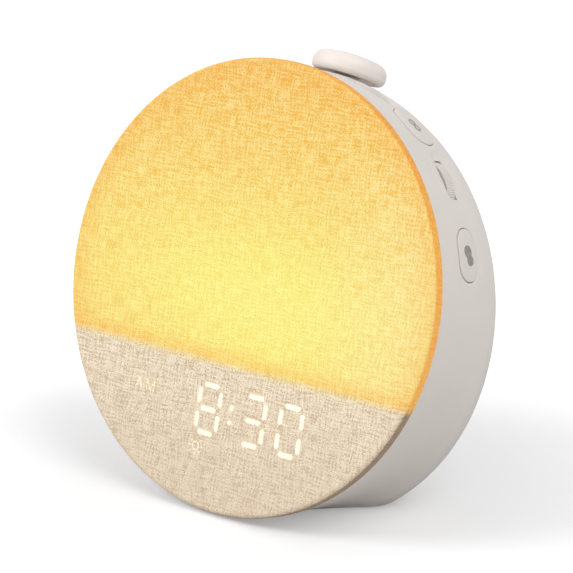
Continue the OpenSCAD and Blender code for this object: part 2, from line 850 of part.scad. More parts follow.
module encoder_body() {
    bore_r = shaft_r + run_gap;
    color(steel) at_face() at_knob() difference() {
        union() {
            translate([0, 0, encoder_bottom]) block([encoder_w, encoder_w, encoder_top - encoder_bottom]);
            translate([0, 0, encoder_top - 0.5]) cylinder(h = bushing_top - encoder_top + 0.5, r = bushing_r);
        }
        translate([0, 0, encoder_bottom + 1.1 + skin_gap]) cylinder(h = 20, r = bore_r);
        translate([0, 0, cavity_bottom]) cylinder(h = cavity_top - cavity_bottom, r = cavity_r);
    }
}

module encoder_board() {
    length = 2 * (encoder_post_x + encoder_post_r);
    low = encoder_bottom - skin_gap - board_t;
    color(board_colour) at_face() at_knob() translate([0, 0, low]) difference() {
        translate([-length / 2, encoder_board_y[0], 0])
            cube([length, encoder_board_y[1] - encoder_board_y[0], board_t]);
        encoder_posts() translate([0, 0, -1]) cylinder(h = board_t + 2, r = small_screw_r + part_gap);
    }
}

module encoder_screws() {
    color(steel) at_face() at_knob() encoder_posts()
        translate([0, 0, encoder_bottom - board_t - 2 * skin_gap]) mirror([0, 0, 1])
            screw(small_screw_r, board_t + 6, small_head_r);
}

// Sector of a flat ring between two angles.
module sector(outer, inner, from, to) {
    reach = big / 2;
    intersection() {
        difference() {
            circle(outer, $fn = 128);
            circle(inner, $fn = 128);
        }
        polygon([[0, 0], reach * [cos(from), sin(from)], reach * [cos((from + to) / 2), sin((from + to) / 2)],
                 reach * [cos(to), sin(to)]]);
    }
}

module axle_places() {
    for (a = [volume_wheel_angle, brightness_wheel_angle]) rotate([0, 0, a]) translate([wheel_axis_r, 0, 0])
        children();
}

module control_carrier() {
    height = carrier_back - carrier_front;
    color(white_plastic) at_face() difference() {
        union() {
            for (s = [carrier_mid_front, carrier_back]) at_depth(s) linear_extrude(carrier_wall)
                sector(carrier_out_r, carrier_in_r, carrier_angles[0], carrier_angles[1]);
            at_depth(carrier_back - carrier_wall / 2) tube_places()
                cylinder(h = height - carrier_wall, r = tube_r);
        }
        at_depth(carrier_back + 1) axle_places() cylinder(h = height + 2, r = axle_r + run_gap);
        at_depth(carrier_back - tube_floor) tube_places() cylinder(h = height, r = tube_bore_r);
        at_depth(carrier_back + 1) tube_places() cylinder(h = height, r = small_screw_r + part_gap);
    }
}

module carrier_screws() {
    color(steel) at_face() at_depth(carrier_back - tube_floor - skin_gap) tube_places()
        screw(small_screw_r, tube_floor + 8, small_head_r);
}

// Ring that follows the shell's slope, for the faces of buttons. It is centred on the disc's axis.
module shell_band(inset, from, to) {
    at_depth(to)
        cylinder(h = to - from, r1 = straight_r(to) - inset, r2 = straight_r(from) - inset, $fn = 128);
}

// Button cap: a face that follows the shell, a flange that keeps it in, and a stem to the switch.
module button(angle) {
    flange_len = button_len + 2 * button_flange;
    flange_w = button_w + 2 * button_flange;
    low_r = button_in_r - flange_wall;
    from = button_depth - button_w;
    to = button_depth + button_w;
    at_face() {
        intersection() {
            at_side(angle, button_depth) pill_along_x(button_len, button_w, low_r, button_out_r + 4);
            shell_band(-button_proud, from, to);
        }
        intersection() {
            at_side(angle, button_depth) pill_along_x(flange_len, flange_w, low_r - 1, button_out_r);
            translate([0, flange_drop, 0]) difference() {
                shell_band(wall + 0.3, from, to);
                shell_band(wall + 0.3 + flange_wall, from - 1, to + 1);
            }
        }
        at_side(angle, button_depth) translate([plunger_top + skin_gap, 0, 0]) rotate([0, 90, 0])
            cylinder(h = low_r - plunger_top + 0.5, r = stem_r);
    }
}

module plunger(angle) {
    at_face() at_side(angle, button_depth) translate([plunger_top - plunger_len, 0, 0]) rotate([0, 90, 0])
        cylinder(h = plunger_len, r = plunger_r);
}

module switch_body(angle) {
    bore_depth = plunger_len - 1 + button_travel + 0.15;
    at_face() at_side(angle, button_depth) difference() {
        translate([switch_base, 0, 0]) rotate([0, 90, 0]) block([switch_size, switch_size, switch_h]);
        translate([switch_top - bore_depth, 0, 0]) rotate([0, 90, 0])
            cylinder(h = 9, r = plunger_r + run_gap);
    }
}

module switch_board(angle) {
    low = carrier_mid_front + skin_gap;
    high = carrier_mid_back - skin_gap;
    at_face() rotate([0, 0, angle])
        translate([switch_base - skin_gap - board_t, -switch_board_w / 2, -high])
            cube([board_t, switch_board_w, high - low]);
}

module light_button() { color(shell_colour) button(light_button_angle); }
module light_plunger() { color(black_plastic) plunger(light_button_angle); }
module light_switch() { color(steel) switch_body(light_button_angle); }
module light_switch_board() { color(board_colour) switch_board(light_button_angle); }
module sound_button() { color(shell_colour) button(sound_button_angle); }
module sound_plunger() { color(black_plastic) plunger(sound_button_angle); }
module sound_switch() { color(steel) switch_body(sound_button_angle); }
module sound_switch_board() { color(board_colour) switch_board(sound_button_angle); }

// Ribbed wheel, made as a prism whose outline goes in and out at every rib.
module thumbwheel(angle) {
    step = 360 / wheel_ribs;
    outline = [for (i = [0 : wheel_ribs - 1], p = [[-0.3, 0], [0, 1], [0.4, 1], [0.7, 0]])
        (wheel_r - rib_depth * (1 - p[1])) * [cos((i + p[0]) * step), sin((i + p[0]) * step)]];
    at_face() at_side(angle, wheel_depth + wheel_w / 2) translate([wheel_axis_r, 0, 0]) difference() {
        linear_extrude(wheel_w) polygon(outline);
        translate([0, 0, -1]) cylinder(h = wheel_w + 2, r = axle_r + pilot_gap);
    }
}

module axle(angle) {
    far = carrier_back + 2;
    at_face() at_side(angle, far) translate([wheel_axis_r, 0, 0])
        cylinder(h = far - carrier_front, r = axle_r);
}

module wheel_encoder(angle) {
    back = carrier_back + skin_gap + encoder_t;
    at_face() at_side(angle, back) translate([wheel_axis_r, 0, 0]) difference() {
        block([encoder_side, encoder_side, encoder_t]);
        translate([0, 0, encoder_t - 2.4]) cylinder(h = 9, r = axle_r + run_gap);
    }
}

module brightness_wheel() { color(shell_colour) thumbwheel(brightness_wheel_angle); }
module brightness_axle() { color(steel) axle(brightness_wheel_angle); }
module brightness_encoder() { color(black_plastic) wheel_encoder(brightness_wheel_angle); }
module volume_wheel() { color(shell_colour) thumbwheel(volume_wheel_angle); }
module volume_axle() { color(steel) axle(volume_wheel_angle); }
module volume_encoder() { color(black_plastic) wheel_encoder(volume_wheel_angle); }

module main_board() {
    color(board_colour) at_face() at_depth(main_back) linear_extrude(board_t) difference() {
        translate(main_pos) square(main_size, center = true);
        main_posts() circle(small_screw_r + part_gap);
    }
}

// Places its children on the main board's back, with Z pointing to the back.
module on_main(x, y) {
    translate([main_pos[0] + x, main_pos[1] + y, -main_back - skin_gap]) mirror([0, 0, 1]) children();
}

module board_chips() {
    chips = [
        [-6, 8, 12, 12, 1.4], [14, 12, 7, 6, 1.5], [14, -4, 6, 5, 1.2],
        [-8, -12, 7, 5, 1.6], [26, 2, 5, 4, 1]
    ];
    color(black_plastic) at_face() for (c = chips) on_main(c[0], c[1]) block([c[2], c[3], c[4]]);
}

module board_capacitors() {
    color(steel) at_face() for (p = [[4, -20], [13, -20]]) on_main(p[0], p[1]) cylinder(h = 7, r = 3.15);
}

module board_connectors() {
    color(white_plastic) at_face() for (p = [[28, -20], [-6, 24], [28, 14], [-6, -25]])
        on_main(p[0], p[1]) difference() {
            block([9, 5, 5.5]);
            translate([0, 0, 1.5]) block([7, 3, 5]);
        }
}

module main_screws() {
    color(steel) at_face() main_posts() translate([0, 0, -main_back - skin_gap]) mirror([0, 0, 1])
        screw(small_screw_r, board_t + 5, small_head_r);
}

cell_r = 10;
cell_t = 3.2;
cell_pos = [-27, 2];
module cell_holder() {
    cup_r = cell_r + 1.4;
    color(black_plastic) at_face() on_main(cell_pos[0], cell_pos[1]) difference() {
        cylinder(h = cell_t + 1.3, r = cup_r);
        translate([0, 0, 1]) cylinder(h = 9, r = cell_r + part_gap);
        translate([0, cup_r, 2.5]) block([8, cup_r, 9]);
    }
}

module backup_cell() {
    color(steel) at_face() on_main(cell_pos[0], cell_pos[1]) translate([0, 0, 1 + skin_gap]) {
        cylinder(h = cell_t - 0.4, r = cell_r);
        cylinder(h = cell_t, r = cell_r - 1.2);
    }
}

// Places its children on the speaker's axis at a depth, with Z towards the front.
module at_speaker(s) {
    at_face() translate([0, speaker_y, -s]) children();
}

module speaker_basket() {
    flange_in_r = seat_in_r + 0.4;
    cup_r = flange_in_r + 0.9;
    cup_front = cup_back - 1.2;
    cup_small_r = magnet_r - 1;
    depth = speaker_flange_front - cup_front;
    windows = 4;
    color(steel) at_speaker(speaker_flange_back) difference() {
        union() {
            ring(speaker_r, flange_in_r, speaker_flange_t);
            translate([0, 0, speaker_flange_t]) difference() {
                cylinder(h = depth, r1 = cup_r, r2 = cup_small_r + 1.2);
                translate([0, 0, -1.2]) cylinder(h = depth, r1 = cup_r, r2 = cup_small_r + 1.2);
            }
        }
        rotate([0, 0, 45]) for (i = [0 : windows - 1]) rotate([0, 0, i * 360 / windows])
            translate([speaker_hole_ring, 0, -1])
                cylinder(h = speaker_flange_t + 2, r = small_screw_r + part_gap);
        rotate([0, 0, 45]) for (i = [0 : windows - 1]) rotate([0, 0, i * 360 / windows])
            translate([speaker_hole_ring, 0, speaker_flange_t + skin_gap / 2])
                cylinder(h = head_t + screw_room, r = small_head_r + part_gap);
        for (i = [0 : windows - 1]) rotate([0, 0, i * 360 / windows])
            translate([magnet_r + 3, 0, speaker_flange_t + 3]) block([12, 12, depth - 6]);
    }
}

module speaker_magnet() {
    color(black_plastic) at_speaker(cup_back - 1.2 - skin_gap) cylinder(h = magnet_t, r = magnet_r);
}

cone_r = 17.5;
module speaker_cone() {
    depth = 6;
    throat_r = 6;
    color([0.16, 0.16, 0.17]) at_speaker(speaker_flange_front) union() {
        difference() {
            cylinder(h = depth, r1 = cone_r, r2 = throat_r);
            translate([0, 0, -0.6]) cylinder(h = depth, r1 = cone_r, r2 = throat_r);
        }
        translate([0, 0, depth - 0.7]) cylinder(h = 5, r = throat_r);
    }
}

module speaker_surround() {
    width = seat_in_r + 0.4 - cone_r - 2 * skin_gap;
    color(black_plastic) at_speaker(speaker_flange_front + 0.8) rotate_extrude() {
        translate([cone_r + skin_gap + width / 2, 0]) intersection() {
            difference() {
                circle(width / 2);
                circle(width / 2 - 0.6);
            }
            translate([-width, 0]) square([2 * width, width]);
        }
    }
}

module speaker_gasket() {
    color(black_plastic) at_speaker(speaker_seat - skin_gap) difference() {
        ring(speaker_r, seat_in_r, gasket_t);
        rotate([0, 0, 45]) for (i = [0 : 3]) rotate([0, 0, i * 90]) translate([speaker_hole_ring, 0, -1])
            cylinder(h = gasket_t + 2, r = small_screw_r + part_gap);
    }
}

module speaker_screws() {
    color(steel) at_face() at_depth(speaker_flange_front - skin_gap) speaker_screw_places()
        screw(small_screw_r, speaker_flange_t + gasket_t + 4, small_head_r);
}

// Power inlet: a box with a round nose that fills the hole in the shell, and a contact pin in its socket.
module power_inlet() {
    socket_r = inlet_d / 2 - 1.1;
    pin_r = 1.05;
    color(black_plastic) translate([0, inlet_body_y, inlet_z]) rotate([-90, 0, 0]) difference() {
        union() {
            translate([-inlet_size[0] / 2, -inlet_size[2] / 2, -inlet_size[1]])
                cube([inlet_size[0], inlet_size[2], inlet_size[1]]);
            cylinder(h = nose_len, r = inlet_d / 2);
        }
        translate([0, 0, -9]) ring(socket_r, pin_r, 9 + nose_len + 1);
        translate([0, 0, nose_len - 1]) cylinder(h = 2, r = socket_r);
    }
}

module inlet_board() {
    width = 2 * inlet_size[0] + 5.2;
    color(board_colour) translate([0, 0, inlet_board_z]) difference() {
        translate([-width / 2, inlet_body_y - inlet_size[1], 0]) cube([width, inlet_size[1] - 3, board_t]);
        inlet_posts() translate([0, 0, -1]) cylinder(h = board_t + 2, r = small_screw_r + part_gap);
    }
}

module inlet_screws() {
    color(steel) translate([0, 0, inlet_board_z + board_t + skin_gap]) inlet_posts()
        screw(small_screw_r, board_t + 3, small_head_r);
}

// Each pair of leads runs side by side between two fixed ends, apart in a direction across both.
lead_r = 0.6;
module lead_pair(points, across) {
    for (side = [-1, 1]) lead([for (p = points) p + side * across], lead_r);
}

main_lead_depth = main_back + 4;
module speaker_leads() {
    start = [12, speaker_y + 15.8, -cup_back - 5];
    color([0.75, 0.15, 0.12]) at_face() lead_pair([start, start + [6, 3, 6], [main_pos[0] + 28, main_pos[1] + 14, -main_lead_depth - 8],
        [main_pos[0] + 28, main_pos[1] + 14, -main_lead_depth]], [0.7, -0.7, 0]);
}

module inlet_leads() {
    color([0.12, 0.12, 0.13]) at_face() lead_pair([[0, -60, -58], [0, -52, -50],
        [main_pos[0] - 6, main_pos[1] - 25, -main_lead_depth - 8],
        [main_pos[0] - 6, main_pos[1] - 25, -main_lead_depth]], [1, 0, 0]);
}

module control_leads() {
    color([0.85, 0.85, 0.85]) at_face() lead_pair([[34, 36, -carrier_back - 1], [30, 30, -carrier_back - 8],
        [6, 24, -carrier_back - 10], [main_pos[0] - 6, main_pos[1] + 24, -main_lead_depth]], [0, 1, 0]);
}

front_cloth();
diffuser_dish();
front_frame();
frame_screws();
chassis_tray();
glow_board();
glow_lamps();
display_mask();
display_reflector();
lit_bars();
unlit_bars();
display_board();
display_lamps();
display_screws();
rear_shell();
base_pad();
knob_cap();
encoder_shaft();
encoder_rotor();
encoder_body();
encoder_board();
encoder_screws();
control_carrier();
carrier_screws();
light_button();
light_plunger();
light_switch();
light_switch_board();
sound_button();
sound_plunger();
sound_switch();
sound_switch_board();
brightness_wheel();
brightness_axle();
brightness_encoder();
volume_wheel();
volume_axle();
volume_encoder();
main_board();
board_chips();
board_capacitors();
board_connectors();
main_screws();
cell_holder();
backup_cell();
speaker_basket();
speaker_magnet();
speaker_cone();
speaker_surround();
speaker_gasket();
speaker_screws();
power_inlet();
inlet_board();
inlet_screws();
speaker_leads();
inlet_leads();
control_leads();
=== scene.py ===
# %% [markdown]
# # Dressing a sunrise alarm clock
#
# The clock is a round lamp under linen, in a domed shell that leans back. The solid parts come ready made
# from CAD, as a fixed frame. Blender adds what CAD is poor at: smooth skins, soft edges, woven cloth,
# light that shines through it, and a quiet studio to see it in.
#
# Everything is in metres in one frame: +Z is up, the front faces -Y, and +X is the viewer's right.

# %% Load the frame
import json
import math
import bmesh
import bpy
from mathutils import Matrix, Vector


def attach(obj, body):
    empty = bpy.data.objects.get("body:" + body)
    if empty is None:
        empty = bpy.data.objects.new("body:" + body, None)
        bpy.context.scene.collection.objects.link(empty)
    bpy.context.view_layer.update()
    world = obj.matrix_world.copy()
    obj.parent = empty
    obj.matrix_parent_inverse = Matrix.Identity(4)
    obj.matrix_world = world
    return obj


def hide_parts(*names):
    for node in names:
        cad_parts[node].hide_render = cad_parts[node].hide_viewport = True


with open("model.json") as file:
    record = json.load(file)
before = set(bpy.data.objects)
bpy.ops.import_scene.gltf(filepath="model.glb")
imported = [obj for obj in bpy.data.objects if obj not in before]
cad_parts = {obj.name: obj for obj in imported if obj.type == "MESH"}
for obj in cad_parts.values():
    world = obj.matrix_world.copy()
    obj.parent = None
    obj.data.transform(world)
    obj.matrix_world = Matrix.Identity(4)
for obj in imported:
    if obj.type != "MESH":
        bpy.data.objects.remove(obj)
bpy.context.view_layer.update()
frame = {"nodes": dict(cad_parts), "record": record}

# %% [markdown]
# ## A second frame for the front
# The front leans back, so its pieces are easiest to draw as if it lay flat on the desk: X to the right,
# Y up along the disc, Z out of the cloth, in millimetres. One matrix carries a finished piece from there
# to its real place. Depths behind the cloth are counted with `s`, as a maker would measure them.

# %% Sizes of the form
MM = 0.001
LEAN = math.radians(15)
FACE_R = 85.0
RIM_ROUND, RIM_BACK = 2.0, 1.2
RIM_DEPTH = 5.5
CLOTH_T = 0.8
PAD_BACK = 19.5
PAD_PROUD = 0.8
FLOOR_CLEAR = 0.35
CENTRE_Z = (FLOOR_CLEAR + (FACE_R - RIM_BACK) * math.cos(LEAN)
            + (RIM_DEPTH - RIM_BACK) * math.sin(LEAN) + RIM_BACK)
SHELL_R, SHELL_TAPER, SHELL_FRONT = 84.0, 0.036, 6.2
DOME_START, DOME_POWER, SHELL_DEPTH = 42.0, 1.7, 78.0
DROOP_START, BACK_DROP = 25.0, 36.0
WALL = 2.6
GLOW_EDGE = 29.9

CENTRE = Vector((0, -PAD_BACK, CENTRE_Z)) * MM
FACE = (Matrix.Translation(CENTRE) @ Matrix.Rotation(math.radians(90) - LEAN, 4, "X")
        @ Matrix.Scale(MM, 4))


def section_r(s):
    """Radius of the shell at a depth."""
    straight = SHELL_R - SHELL_TAPER * min(s, DOME_START)
    if s <= DOME_START:
        return straight
    share = (s - DOME_START) / (SHELL_DEPTH - DOME_START)
    return straight * math.sqrt(max(0.0, 1 - share ** DOME_POWER))


def section_y(s):
    """Height of the shell's middle at a depth: it droops towards the back."""
    return -BACK_DROP * (max(0.0, s - DROOP_START) / (SHELL_DEPTH - DROOP_START)) ** 2


print("shell's radius at the seam and at the dome:",
      round(section_r(SHELL_FRONT), 2), round(section_r(DOME_START), 2))

# %% [markdown]
# ## Tools for meshes
# A round piece is a half outline turned about an axis. The turn uses `spin` with its ends merged, so the
# seam closes. Each finished piece is one object at the origin with its place in its mesh, so a pattern on
# object coordinates stays where it was drawn.

# %% Mesh helpers


def lathe(outline, steps):
    """Turns a closed outline of (radius, height) points about Z."""
    bm = bmesh.new()
    verts = [bm.verts.new((r, 0, z)) for r, z in outline]
    edges = [bm.edges.new(pair) for pair in zip(verts, verts[1:] + verts[:1])]
    bmesh.ops.spin(bm, geom=verts + edges, axis=(0, 0, 1), cent=(0, 0, 0), dvec=(0, 0, 0),
                   angle=math.tau, steps=steps, use_merge=True)
    bmesh.ops.remove_doubles(bm, verts=bm.verts, dist=1e-4)
    loose = [e for e in bm.edges if not e.link_faces]
    bmesh.ops.delete(bm, geom=loose, context="EDGES")
    bmesh.ops.recalc_face_normals(bm, faces=bm.faces)
    return bm


def arc(centre, radius, start, end, count):
    """Points of an arc in an outline, in degrees."""
    angles = [math.radians(start + (end - start) * i / count) for i in range(count + 1)]
    return [(centre[0] + radius * math.cos(a), centre[1] + radius * math.sin(a)) for a in angles]


def finish_piece(bm, name, material, body, replaced=(), place=FACE, crease=35):
    """Puts a mesh in its place as an object, smooth but for its creases, riding on a body."""
    bm.transform(place)
    bm.normal_update()
    for edge in bm.edges:
        edge.smooth = len(edge.link_faces) == 2 and edge.calc_face_angle(0) < math.radians(crease)
    for face in bm.faces:
        face.smooth = True
    mesh = bpy.data.meshes.new(name)
    bm.to_mesh(mesh)
    bm.free()
    mesh.materials.append(material)
    piece = bpy.data.objects.new(name, mesh)
    bpy.context.scene.collection.objects.link(piece)
    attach(piece, body)
    if replaced:
        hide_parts(*replaced)
    print(f"{name}: {len(mesh.vertices)} vertices, {len(mesh.polygons)} faces")
    return piece


print("a quarter round in three steps:", [(round(x, 2), round(y, 2)) for x, y in arc((0, 0), 1, 0, 90, 3)])

# %% [markdown]
# ## Tools for materials
# A material is a small graph of nodes. This class gives the nodes short names, so that a finish reads
# like a sum. A plain number is set on the socket itself, and only what varies over the surface is linked.

# %% Material helper


def srgb(red, green, blue):
    """A colour as a screen shows it, in 0 to 255, made linear for the shader."""
    def linear(c):
        c /= 255
        return c / 12.92 if c <= 0.04045 else ((c + 0.055) / 1.055) ** 2.4
    return linear(red), linear(green), linear(blue), 1.0


def tinted(colour, share):
    """A colour made darker, or lighter where the share is over 1."""
    return tuple(c * share for c in colour[:3]) + (1.0,)


class Finish:
    """A Principled material with short names for its nodes."""

    def __init__(self, name, **values):
        self.material = bpy.data.materials.new(name)
        self.material.use_nodes = True
        self.tree = self.material.node_tree
        self.shader = self.tree.nodes["Principled BSDF"]
        for key, value in values.items():
            self.put(self.shader.inputs[key.replace("_", " ")], value)

    def put(self, socket, value):
        if isinstance(value, bpy.types.NodeSocket):
            self.tree.links.new(value, socket)
        else:
            socket.default_value = value

    def node(self, kind, *values, **settings):
        node = self.tree.nodes.new("ShaderNode" + kind)
        for key, value in settings.items():
            setattr(node, key, value)
        for socket, value in zip(node.inputs, values):
            if value is not None:
                self.put(socket, value)
        return node

    def math(self, operation, *values, clamp=False):
        return self.node("Math", *values, operation=operation, use_clamp=clamp).outputs[0]

    def vector(self, operation, *values):
        node = self.node("VectorMath", *values, operation=operation)
        return node.outputs["Value" if operation in ("LENGTH", "DOT_PRODUCT", "DISTANCE") else "Vector"]

    def noise(self, vector, scale, detail=2.0):
        node = self.node("TexNoise", vector)
        node.inputs["Scale"].default_value = scale
        node.inputs["Detail"].default_value = detail
        return node.outputs[0]

    def range(self, value, low, high, to_low=0.0, to_high=1.0, smooth=True):
        kind = "SMOOTHSTEP" if smooth else "LINEAR"
        node = self.node("MapRange", value, low, high, to_low, to_high, interpolation_type=kind)
        return node.outputs[0]

    def mix(self, factor, one, other, blend="MIX"):
        """Mixes two colours. A Mix node has its colours on sockets 6 and 7, and their mix on socket 2."""
        node = self.node("Mix", data_type="RGBA", blend_type=blend)
        for socket, value in zip((node.inputs[0], node.inputs[6], node.inputs[7]), (factor, one, other)):
            self.put(socket, value)
        return node.outputs[2]

    def ramp(self, value, stops):
        node = self.node("ValToRGB", value)
        points = node.color_ramp.elements
        while len(points) < len(stops):
            points.new(0.5)
        for point, (position, colour) in zip(points, stops):
            point.position, point.color = position, colour
        return node.outputs[0]

    def bump(self, height, distance, strength):
        node = self.node("Bump")
        node.inputs["Strength"].default_value = strength
        node.inputs["Distance"].default_value = distance
        self.put(node.inputs["Height"], height)
        self.put(self.shader.inputs["Normal"], node.outputs[0])

    def place(self):
        """The point on the surface, in metres in the row frame."""
        return self.node("TexCoord").outputs["Object"]

    def face_place(self):
        """The same point in the front's own frame, in millimetres."""
        turn = (math.radians(90) - LEAN, 0, 0)
        node = self.node("Mapping", self.place(), CENTRE, turn, (MM, MM, MM), vector_type="TEXTURE")
        return node.outputs[0]


print("colour check, linen in linear light:", [round(c, 3) for c in srgb(236, 216, 188)])

# %% [markdown]
# ## Camera
# The camera comes from matching the front's ellipse, the shell's outline and the knob with the
# photograph: it stands to the right of the clock and a little above it, with a long lens. The disc's
# middle isn't in the middle of the frame, so the camera is moved sideways in its own plane rather than
# shifted.

# %% Camera
AZIMUTH, ELEVATION = math.radians(38.76), math.radians(17.44)
DISTANCE, SIDE, RISE = 12 * FACE_R * MM, 0.1845 * FACE_R * MM, 0.005 * FACE_R * MM
FRAME_PX, FOCAL_PX, SENSOR = 573, 2769, 36.0
back = Vector((math.sin(AZIMUTH) * math.cos(ELEVATION), -math.cos(AZIMUTH) * math.cos(ELEVATION),
               math.sin(ELEVATION)))
right = Vector((math.cos(AZIMUTH), math.sin(AZIMUTH), 0))
up = back.cross(right)
camera = bpy.data.objects.new("camera", bpy.data.cameras.new("camera"))
camera.data.sensor_width = SENSOR
camera.data.lens = FOCAL_PX / FRAME_PX * SENSOR
camera.data.clip_end = 50
turn = Matrix((right, up, back)).transposed().to_4x4()
camera.matrix_world = Matrix.Translation(CENTRE + back * DISTANCE + right * SIDE + up * RISE) @ turn
bpy.context.scene.collection.objects.link(camera)
bpy.context.scene.camera = camera
print("lens", round(camera.data.lens, 1), "mm, camera at", [round(c, 3) for c in camera.location])

# %% [markdown]
# ## Linen over a lamp
# The cloth is a fine plain weave. Two sets of threads cross at right angles, each thicker in some places
# than in others, so the cloth shows short streaks both ways. Where the lamp is on, light comes through: a
# pale yellow in the middle, warmer towards the rim and the top. Under a level edge the cloth is unlit, and
# the digits shine through it. The weave could be an image, but a graph stays sharp at any size.
#
# First the weave: a point on the cloth is measured in threads. Round the rim the pattern is carried on
# outwards with the depth, so that it doesn't smear.

# %% Weave
THREAD = 0.74
ALONG_YARN, ACROSS_YARN = 0.16, 1.25
ALONG_LEVEL = 0.13


def weave(f, point):
    """How thick the thread is at a point, and how well it covers: 0 at a gap and 1 where threads cross."""
    x, y, z = f.node("SeparateXYZ", point).outputs
    spread = f.math("SUBTRACT", 1.0, f.math("DIVIDE", z, FACE_R))
    wander = f.math("MULTIPLY", f.math("SUBTRACT", f.noise(point, 0.11, 1.0), 0.5), 3.0)
    x = f.math("ADD", f.math("MULTIPLY", x, spread), wander)
    y = f.math("ADD", f.math("MULTIPLY", y, spread), f.math("MULTIPLY", wander, 0.7))
    across = f.math("SINE", f.math("MULTIPLY", x, math.pi / THREAD))
    along = f.math("SINE", f.math("MULTIPLY", y, math.pi / THREAD))
    over = f.math("MULTIPLY", across, along)
    flat = f.node("CombineXYZ", x, y, 0.0).outputs[0]
    upright = f.noise(f.vector("MULTIPLY", flat, (ACROSS_YARN, ALONG_YARN, 1.0)), 1.0, 2.0)
    level = f.noise(f.vector("MULTIPLY", flat, (ALONG_LEVEL, ACROSS_YARN, 1.0)), 1.0, 2.0)
    yarn = f.node("Mix", f.range(over, -0.3, 0.3), None, level, upright, data_type="FLOAT")
    cover = f.math("ABSOLUTE", over)
    return yarn.outputs[0], cover


print("threads across the front:", round(2 * FACE_R / THREAD))

# %% [markdown]
# Next the marks that shine through. A rounded bar is all points nearer than its radius to a short line,
# so its edge comes from one length. Digits repeat themselves: eight and nought are the same left and
# right and top and bottom, so folding the plane about a digit's middle draws four bars as one.

# %% Bars and digits
DIGIT_W, DIGIT_H, STROKE = 9.8, 17.9, 1.9
LEVEL_HALF, UPRIGHT_HALF = 2.55, 1.9


def bar(f, point, centre, half, radius, angle=0.0):
    """Distance to a rounded bar, in millimetres: less than nought inside it."""
    p = f.vector("SUBTRACT", point, (*centre, 0.0))
    if angle:
        p = f.node("VectorRotate", p, rotation_type="Z_AXIS")
        p.inputs["Angle"].default_value = -math.radians(angle)
        p = p.outputs[0]
    p = f.vector("SUBTRACT", f.vector("ABSOLUTE", p), (*half, 0.0))
    return f.math("SUBTRACT", f.vector("LENGTH", f.vector("MAXIMUM", p, (0.0, 0.0, 0.0))), radius)


def nearest(f, distances):
    found = distances[0]
    for other in distances[1:]:
        found = f.math("MINIMUM", found, other)
    return found


def digit(f, point, centre, folds, level_bars, upright_bars):
    """Bars of one digit. folds says which of its halves mirror each other."""
    p = f.vector("SUBTRACT", point, (*centre, 0.0))
    x, y, _ = f.node("SeparateXYZ", p).outputs
    if "x" in folds:
        x = f.math("ABSOLUTE", x)
    if "y" in folds:
        y = f.math("ABSOLUTE", y)
    p = f.node("CombineXYZ", x, y, 0.0).outputs[0]
    r = STROKE / 2
    level = [bar(f, p, (0, h), (LEVEL_HALF, 0), r) for h in level_bars]
    upright = [bar(f, p, (DIGIT_W / 2, h), (0, UPRIGHT_HALF), r) for h in upright_bars]
    return nearest(f, level + upright)


print("a digit:", round(DIGIT_W + STROKE, 1), "by", round(DIGIT_H + STROKE, 1), "mm over its strokes")

# %% [markdown]
# The small letters and the sun's rays are thin bars too. A letter's line is given by its middle, half its
# size and its slant in degrees. The sun folds its eight rays into one, by the angle about its middle.

# %% Marks
DIGIT_Y = -(GLOW_EDGE + 17.5)
DIGIT_X = (-7.3, 14.1, 31.2)
COLON_X, COLON_STEP, COLON_R = 3.4, 5.6, 0.9
LETTERS, LETTER_R = (-39.0, DIGIT_Y + 3.0), 0.26
LETTER_LINES = [(-3.9, 0, 0, 1.9, -20), (-2.5, 0, 0, 1.9, 20), (-3.2, -0.7, 0.9, 0, 0), (0.6, 0, 0, 1.8, 0),
                (4.4, 0, 0, 1.8, 0), (1.55, 0, 0, 1.9, 27), (3.45, 0, 0, 1.9, -27)]
SUN, SUN_R, SUN_LINE = (-10.6, DIGIT_Y - 14.5), 1.45, 0.24
RAY_AT, RAY_HALF, RAY_TURN = 3.05, 0.35, math.radians(22.5)


def marks(f, point):
    """Distance to the nearest stroke of the time, and to the nearest thin line of the small marks."""
    flat = f.vector("MULTIPLY", point, (1.0, 1.0, 0.0))
    top, side = DIGIT_H / 2, DIGIT_H / 4
    eight = digit(f, flat, (DIGIT_X[0], DIGIT_Y), "xy", (0, top), (side,))
    three = digit(f, flat, (DIGIT_X[1], DIGIT_Y), "y", (0, top), (side,))
    nought = digit(f, flat, (DIGIT_X[2], DIGIT_Y), "xy", (top,), (side,))
    colon = [bar(f, flat, (COLON_X, DIGIT_Y + end * COLON_STEP / 2), (0, 0), COLON_R) for end in (-1, 1)]
    time = nearest(f, [eight, three, nought] + colon)
    x, y = LETTERS
    lines = [bar(f, flat, (x + right, y + up), (wide, high), LETTER_R, slant)
             for right, up, wide, high, slant in LETTER_LINES]
    p = f.vector("SUBTRACT", flat, (*SUN, 0.0))
    px, py, _ = f.node("SeparateXYZ", p).outputs
    reach = f.vector("LENGTH", p)
    lines.append(f.math("SUBTRACT", f.math("ABSOLUTE", f.math("SUBTRACT", reach, SUN_R)), SUN_LINE))
    turn = f.math("PINGPONG", f.math("ARCTAN2", py, px), RAY_TURN)
    ray = f.node("CombineXYZ", f.math("MULTIPLY", reach, f.math("COSINE", turn)),
                 f.math("MULTIPLY", reach, f.math("SINE", turn)), 0.0).outputs[0]
    lines.append(bar(f, ray, (RAY_AT, 0), (RAY_HALF, 0), SUN_LINE))
    return time, nearest(f, lines)


print("digits' middles:", [(x, DIGIT_Y) for x in DIGIT_X], "sun:", SUN)

# %% [markdown]
# The cloth's colour is then a sum. Where the lamp is on, most of what is seen is its own light, so the
# cloth's reflected colour is turned down there and its emission up. Thick threads hold light back and
# glow a deeper yellow, more so the further they are from the lamp's middle, and gaps let it through.

